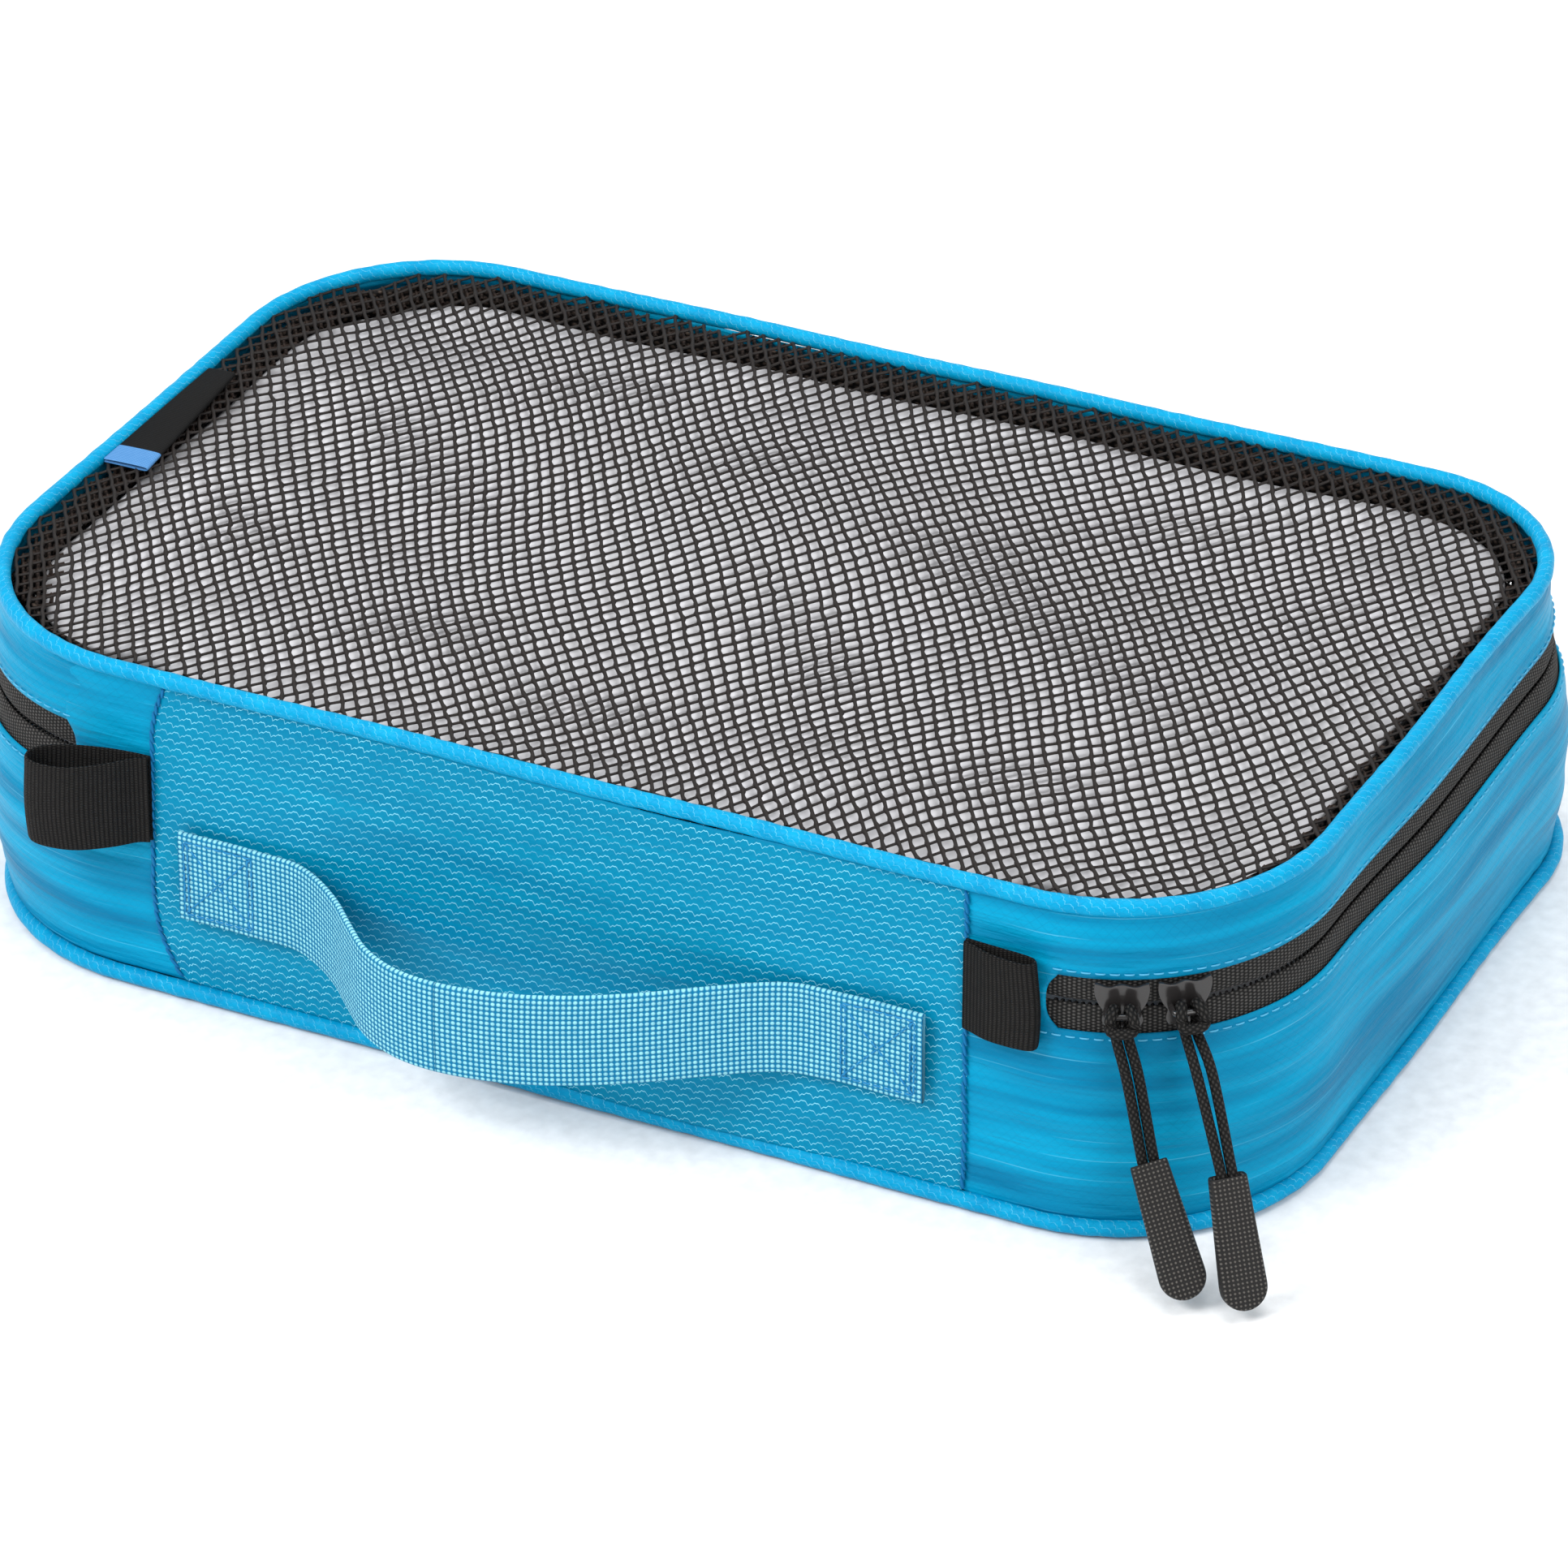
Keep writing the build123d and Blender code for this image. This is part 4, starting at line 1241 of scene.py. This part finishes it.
# %% Cords
GRIPS = {
    "left": (np.array((142.2, -103.5, 25.6)), np.array((154.2, -113.1, 6.8))),
    "right": (np.array((160.5, -104.6, 28.4)), np.array((167.0, -111.1, 6.8))),
}
SPREAD = {"left": 1.22, "right": 1.6}
HITCH = ((1.25, -4.6, 0.9), (1.4, -2.1, -0.7), (1.5, -0.2, -1.8), (1.7, 1.5, -0.8), (1.95, 1.5, 0.9),
         (2.5, 0.2, 2.2), (2.3, -1.6, 2.9))
CORD_D, CORD_SIDES, YARNS_ROUND = 2.3, 12, 6


def grip_axes(name, angle):
    """The pull's own directions: along its grip, across it, and out from its flat face."""
    mouth, tip = GRIPS[name]
    turn = math.radians(angle)
    along = np.array((math.cos(turn), math.sin(turn), 0.0))
    slope = (tip - mouth) / np.linalg.norm(tip - mouth)
    across = along - slope * along.dot(slope)
    across /= np.linalg.norm(across)
    return slope, across, np.cross(across, slope)


def cord_route(name, angle):
    """Points from one end of the cord in the grip, round the bar and back to the other end."""
    mouth, _ = GRIPS[name]
    slope, across, _ = grip_axes(name, angle)
    turn = math.radians(angle)
    out = np.array((math.sin(turn), -math.cos(turn), 0.0))
    along = np.array((math.cos(turn), math.sin(turn), 0.0))
    bar = corner_point(angle, BAR_R, ZIP_Z)
    down = (mouth - bar) / np.linalg.norm(mouth - bar)

    def beside_bar(aside, up, outwards):
        return bar + along * aside + np.array((0, 0, up)) + out * outwards

    def leg(side, slack):
        middle = bar + down * 13 + across * side * SPREAD[name] + out * slack
        low = mouth + across * side * 1.18
        hitch = [beside_bar(side * aside, up, outwards) for aside, up, outwards in HITCH]
        return [low + slope * 1.6, low - down * 1.5, middle] + hitch

    return leg(-1, 0.9) + [beside_bar(0.0, -2.0, 3.25)] + leg(1, 0.5)[::-1]


def hang_cord(name, angle):
    """One cord as a tube along its route, with u along it and v round it."""
    line, length = smooth_line(cord_route(name, angle), 150)
    rings = wire_tube(line[None], CORD_D / 2, CORD_SIDES)[0]
    uv_steps = (np.linspace(0, length, len(line)), np.linspace(0, YARNS_ROUND, CORD_SIDES + 1))
    cord = grid_piece(f"pull_cord_line_{name}", rings, uv_steps, cord_cloth, False, True)
    # The grid's rows run along the cord, so its u and v change places.
    layer = cord.data.uv_layers["cloth"].data
    values = np.zeros(len(layer) * 2)
    layer.foreach_get("uv", values)
    layer.foreach_set("uv", values.reshape(-1, 2)[:, ::-1].ravel())
    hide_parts(f"pull_cord_{name}")
    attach(cord, f"{name}_pull")
    print(name, "cord length", round(length, 1), "mm")


# %% [markdown]
# The grip is a stack of rounded rectangles from its mouth to its rounded tip. The first ones go
# into the mouth, so that the cord's ends run into a hollow.

# %% Grips
GRIP_SIDES, TIP_LENGTH = 28, 5.0
ring_angle = np.arange(GRIP_SIDES) * 2 * math.pi / GRIP_SIDES
cos, sin = np.cos(ring_angle), np.sin(ring_angle)
RING_X = np.sign(cos) * np.abs(cos) ** 0.35
RING_Y = np.sign(sin) * np.abs(sin) ** 0.55


def grip_rows(reach):
    """How far along, how wide and how thick each rounded rectangle is, from the mouth's floor."""
    tip = reach + TIP_LENGTH * np.sin(np.linspace(0.2, 1.5, 8))
    along = np.concatenate([np.linspace(0, reach, 14), tip])
    past = np.clip((along - reach) / TIP_LENGTH, 0, 1)
    width = np.interp(along, [0, 1.0, reach, reach + TIP_LENGTH], [4.0, 4.0, 5.0, 5.0])
    width = width * np.sqrt(1 - past ** 2 * 0.995)
    depth = 2.2 * np.sqrt(1 - past ** 2 * 0.97) ** 0.45
    mouth = [(1.4, 0, 0), (0.9, 3.1, 1.6), (0.0, 3.6, 1.95)]
    return np.concatenate([mouth, np.stack([along, width, depth], -1), [(reach + TIP_LENGTH, 0, 0)]])


def mould_grip(name, angle):
    """One grip over the cord's two ends."""
    mouth, tip = GRIPS[name]
    slope, across, face = grip_axes(name, angle)
    along, width, depth = grip_rows(np.linalg.norm(tip - mouth)).T[..., None, None]
    rows = mouth + slope * along + across * width * RING_X[:, None] + face * depth * RING_Y[:, None]
    faces, _ = grid_faces(len(rows), GRIP_SIDES, False, True)
    local = rows.reshape(-1, 3) - mouth
    uv = np.stack([local @ across, local @ slope], -1)[faces[:, ::-1]]
    grip = make_piece(f"pull_grip_body_{name}", rows, faces[:, ::-1], grip_rubber, uv)
    smooth(grip)
    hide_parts(f"pull_grip_{name}")
    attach(grip, f"{name}_pull")
    print(name, "grip:", len(rows), "rings of", GRIP_SIDES, "points")


for name, angle in angles.items():
    hang_cord(name, angle)
    mould_grip(name, angle)

# %% [markdown]
# ## The label tab
# A narrow woven label lies folded on the net beside the left piping, its ends caught in the seam.
# Its cross-section is one folded line, repeated along its length with small waves. It is left
# blank, and its stripe is a second material on the first few columns of faces.

# %% Label
low, high = limits("label_tab")
s = np.linspace(low[1], high[1], 40)
half = (high[0] - low[0]) / 2
FOLDED_TAPE = [(-1, 0.35), (-0.4, 0.42), (0.5, 0.45), (0.9, 0.55), (1, 0.95), (0.9, 1.35), (0.4, 1.42),
               (-0.4, 1.3), (-1, 1.1)]
STRIPE_COLUMNS = 6
profile, wrap = smooth_line(np.array(FOLDED_TAPE) * (half, 1), 34)
narrow = np.interp(s, (low[1], high[1]), (1.0, 0.6))
x = low[0] + (profile[:, :1] + half) * narrow + 0.25 * np.sin(s / 9.0)
z = low[2] - 0.25 + profile[:, 1:] * (1 + 0.12 * np.sin(s / 7.0)) + 0.14 * np.sin(s / 11.0)
points = np.stack([x, np.broadcast_to(s, x.shape), z], -1)
label = grid_piece("label_tape", points, (np.linspace(0, wrap, len(profile)), s - low[1]), label_cloth)
label.data.materials.append(stripe_cloth)
columns = np.arange(len(label.data.polygons)) % (len(s) - 1)
label.data.polygons.foreach_set("material_index", (columns < STRIPE_COLUMNS).astype(np.int32))
thicken(label, 0.3, 0.0)
smooth(label)
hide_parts("label_tab")
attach(label, "lid")
print("label:", round(high[1] - low[1]), "by", round(2 * half), "mm")

# %% [markdown]
# ## What is packed inside
# The cube is full of soft folded clothes, which show white through the net. The stuffing is a
# padded block a little smaller than the box. Its sides go in and out like a pile of folded
# edges, and its top follows the net, with low soft folds. One closed block is enough, because
# only its top shows until the lid is opened.

# %% Layers of clothes
TOP_Z, TOP_INSET, LOW_Z, LOW_INSET = 75.4, 7.0, 3.2, 9.0
FOLDED = ((71, 11.5), (66, 13.5), (61, 12.0), (54, 12.5), (49, 14.0), (44, 9.5), (36, 5.6), (31, 8.2),
          (26, 5.2), (16, 5.0), (9, 6.4))
top, ring = fill_outline(TOP_Z, TOP_INSET, FILL_COUNT)
x, y = top[..., 0], top[..., 1]
folds = 0.9 * np.abs(np.sin(x / 24 + np.sin(y / 19) * 1.4)) + 0.7 * np.abs(np.sin(y / 17 + x / 43 + 1.0))
top[..., 2] = net_height(x, y) - 1.05 - folds - 3.2 * ring ** 14
bottom, _ = fill_outline(LOW_Z, LOW_INSET, FILL_COUNT)
edge = np.arange(FILL_COUNT - 1)
far = np.full_like(edge, FILL_COUNT - 1)
rows = np.concatenate([0 * edge, edge, far, far - edge])
columns = np.concatenate([edge, far, far - edge, 0 * edge])
rims = []
for k, (z, inset) in enumerate(FOLDED):
    layer, _ = fill_outline(z, inset, FILL_COUNT)
    layer[..., 2] += 0.9 * np.sin(layer[..., 0] / (19 + k) + k) * np.cos(layer[..., 1] / 23 + k)
    rims.append(layer[rows, columns])
print("layers:", len(rims), "rims of", len(rows), "points")

# %% [markdown]
# The top, the bottom and the rims between them are joined into one closed skin. Its top corners
# on the handle side are drawn in, because the lid's zip tape swings past them as the lid opens.

# %% Stuffing
points = np.concatenate([top.reshape(-1, 3), bottom.reshape(-1, 3)] + rims)
zip_room = step(np.abs(points[:, 0]), 92, 110) * step(points[:, 2], 38, 50)
points[:, 1] += zip_room * np.maximum(0, -83.0 - points[:, 1])
sheet = FILL_COUNT ** 2
top_faces, _ = grid_faces(FILL_COUNT, FILL_COUNT)
faces = [top_faces, top_faces[:, ::-1] + sheet]
top_rim = rows * FILL_COUNT + columns
between = [2 * sheet + k * len(rows) + np.arange(len(rows)) for k in range(len(rims))]
levels = [top_rim, *between, top_rim + sheet]
for upper, lower in zip(levels, levels[1:]):
    faces.append(np.stack([upper, lower, np.roll(lower, -1), np.roll(upper, -1)], -1))
stuffing = make_piece("packed_clothes", points, np.concatenate(faces), stuffing_cloth)
smooth(stuffing)
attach(stuffing, "base")
print("stuffing:", len(points), "points")

# %% [markdown]
# ## Light and camera
# A pale floor and background, one large soft light from the front left, one from the right, and
# one from above. The camera stands high in front, to the right of the middle, with a long lens.

# %% Floor and lights
def area_light(name, place, size, power):
    """A square light that points at the cube."""
    data = bpy.data.lights.new(name, "AREA")
    data.energy, data.size = power, size
    lamp = bpy.data.objects.new(name, data)
    bpy.context.scene.collection.objects.link(lamp)
    lamp.location = place
    lamp.rotation_euler = (-lamp.location).to_track_quat("-Z", "Y").to_euler()


bpy.ops.mesh.primitive_plane_add(size=6)
floor = bpy.context.object
floor.name = "floor"
floor.data.materials.append(plain("studio floor", "FFFFFF", 0.9))

area_light("key", (-0.9, -1.3, 1.5), 0.9, 28)
area_light("fill", (1.5, -0.7, 0.9), 1.0, 10)
area_light("top", (0.1, 0.3, 1.8), 1.2, 17)

world = bpy.data.worlds.new("studio")
world.use_nodes = True
background = world.node_tree.nodes["Background"]
background.inputs["Color"].default_value = (1, 1, 1, 1)
background.inputs["Strength"].default_value = 0.75
bpy.context.scene.world = world
print("lights: key, fill and top, and a white world")

# %% [markdown]
# The Standard view transform keeps the cloth's blue as strong as its hex colours. The camera is
# given by its place and three directions, which make its matrix.

# %% Camera
bpy.context.scene.view_settings.view_transform = "Standard"
eye = (0.685959, -1.245211, 0.914472)
right, up = (0.88672, 0.46103, -0.03435), (-0.21985, 0.48589, 0.84591)
forward = (-0.40668, 0.74254, -0.53221)
camera_data = bpy.data.cameras.new("camera")
camera_data.lens, camera_data.sensor_width = 172.57, 36
camera = bpy.data.objects.new("camera", camera_data)
bpy.context.scene.collection.objects.link(camera)
camera.matrix_world = Matrix([(right[k], up[k], -forward[k], eye[k]) for k in range(3)] + [(0, 0, 0, 1)])
bpy.context.scene.camera = camera
print("camera lens", camera_data.lens, "mm")
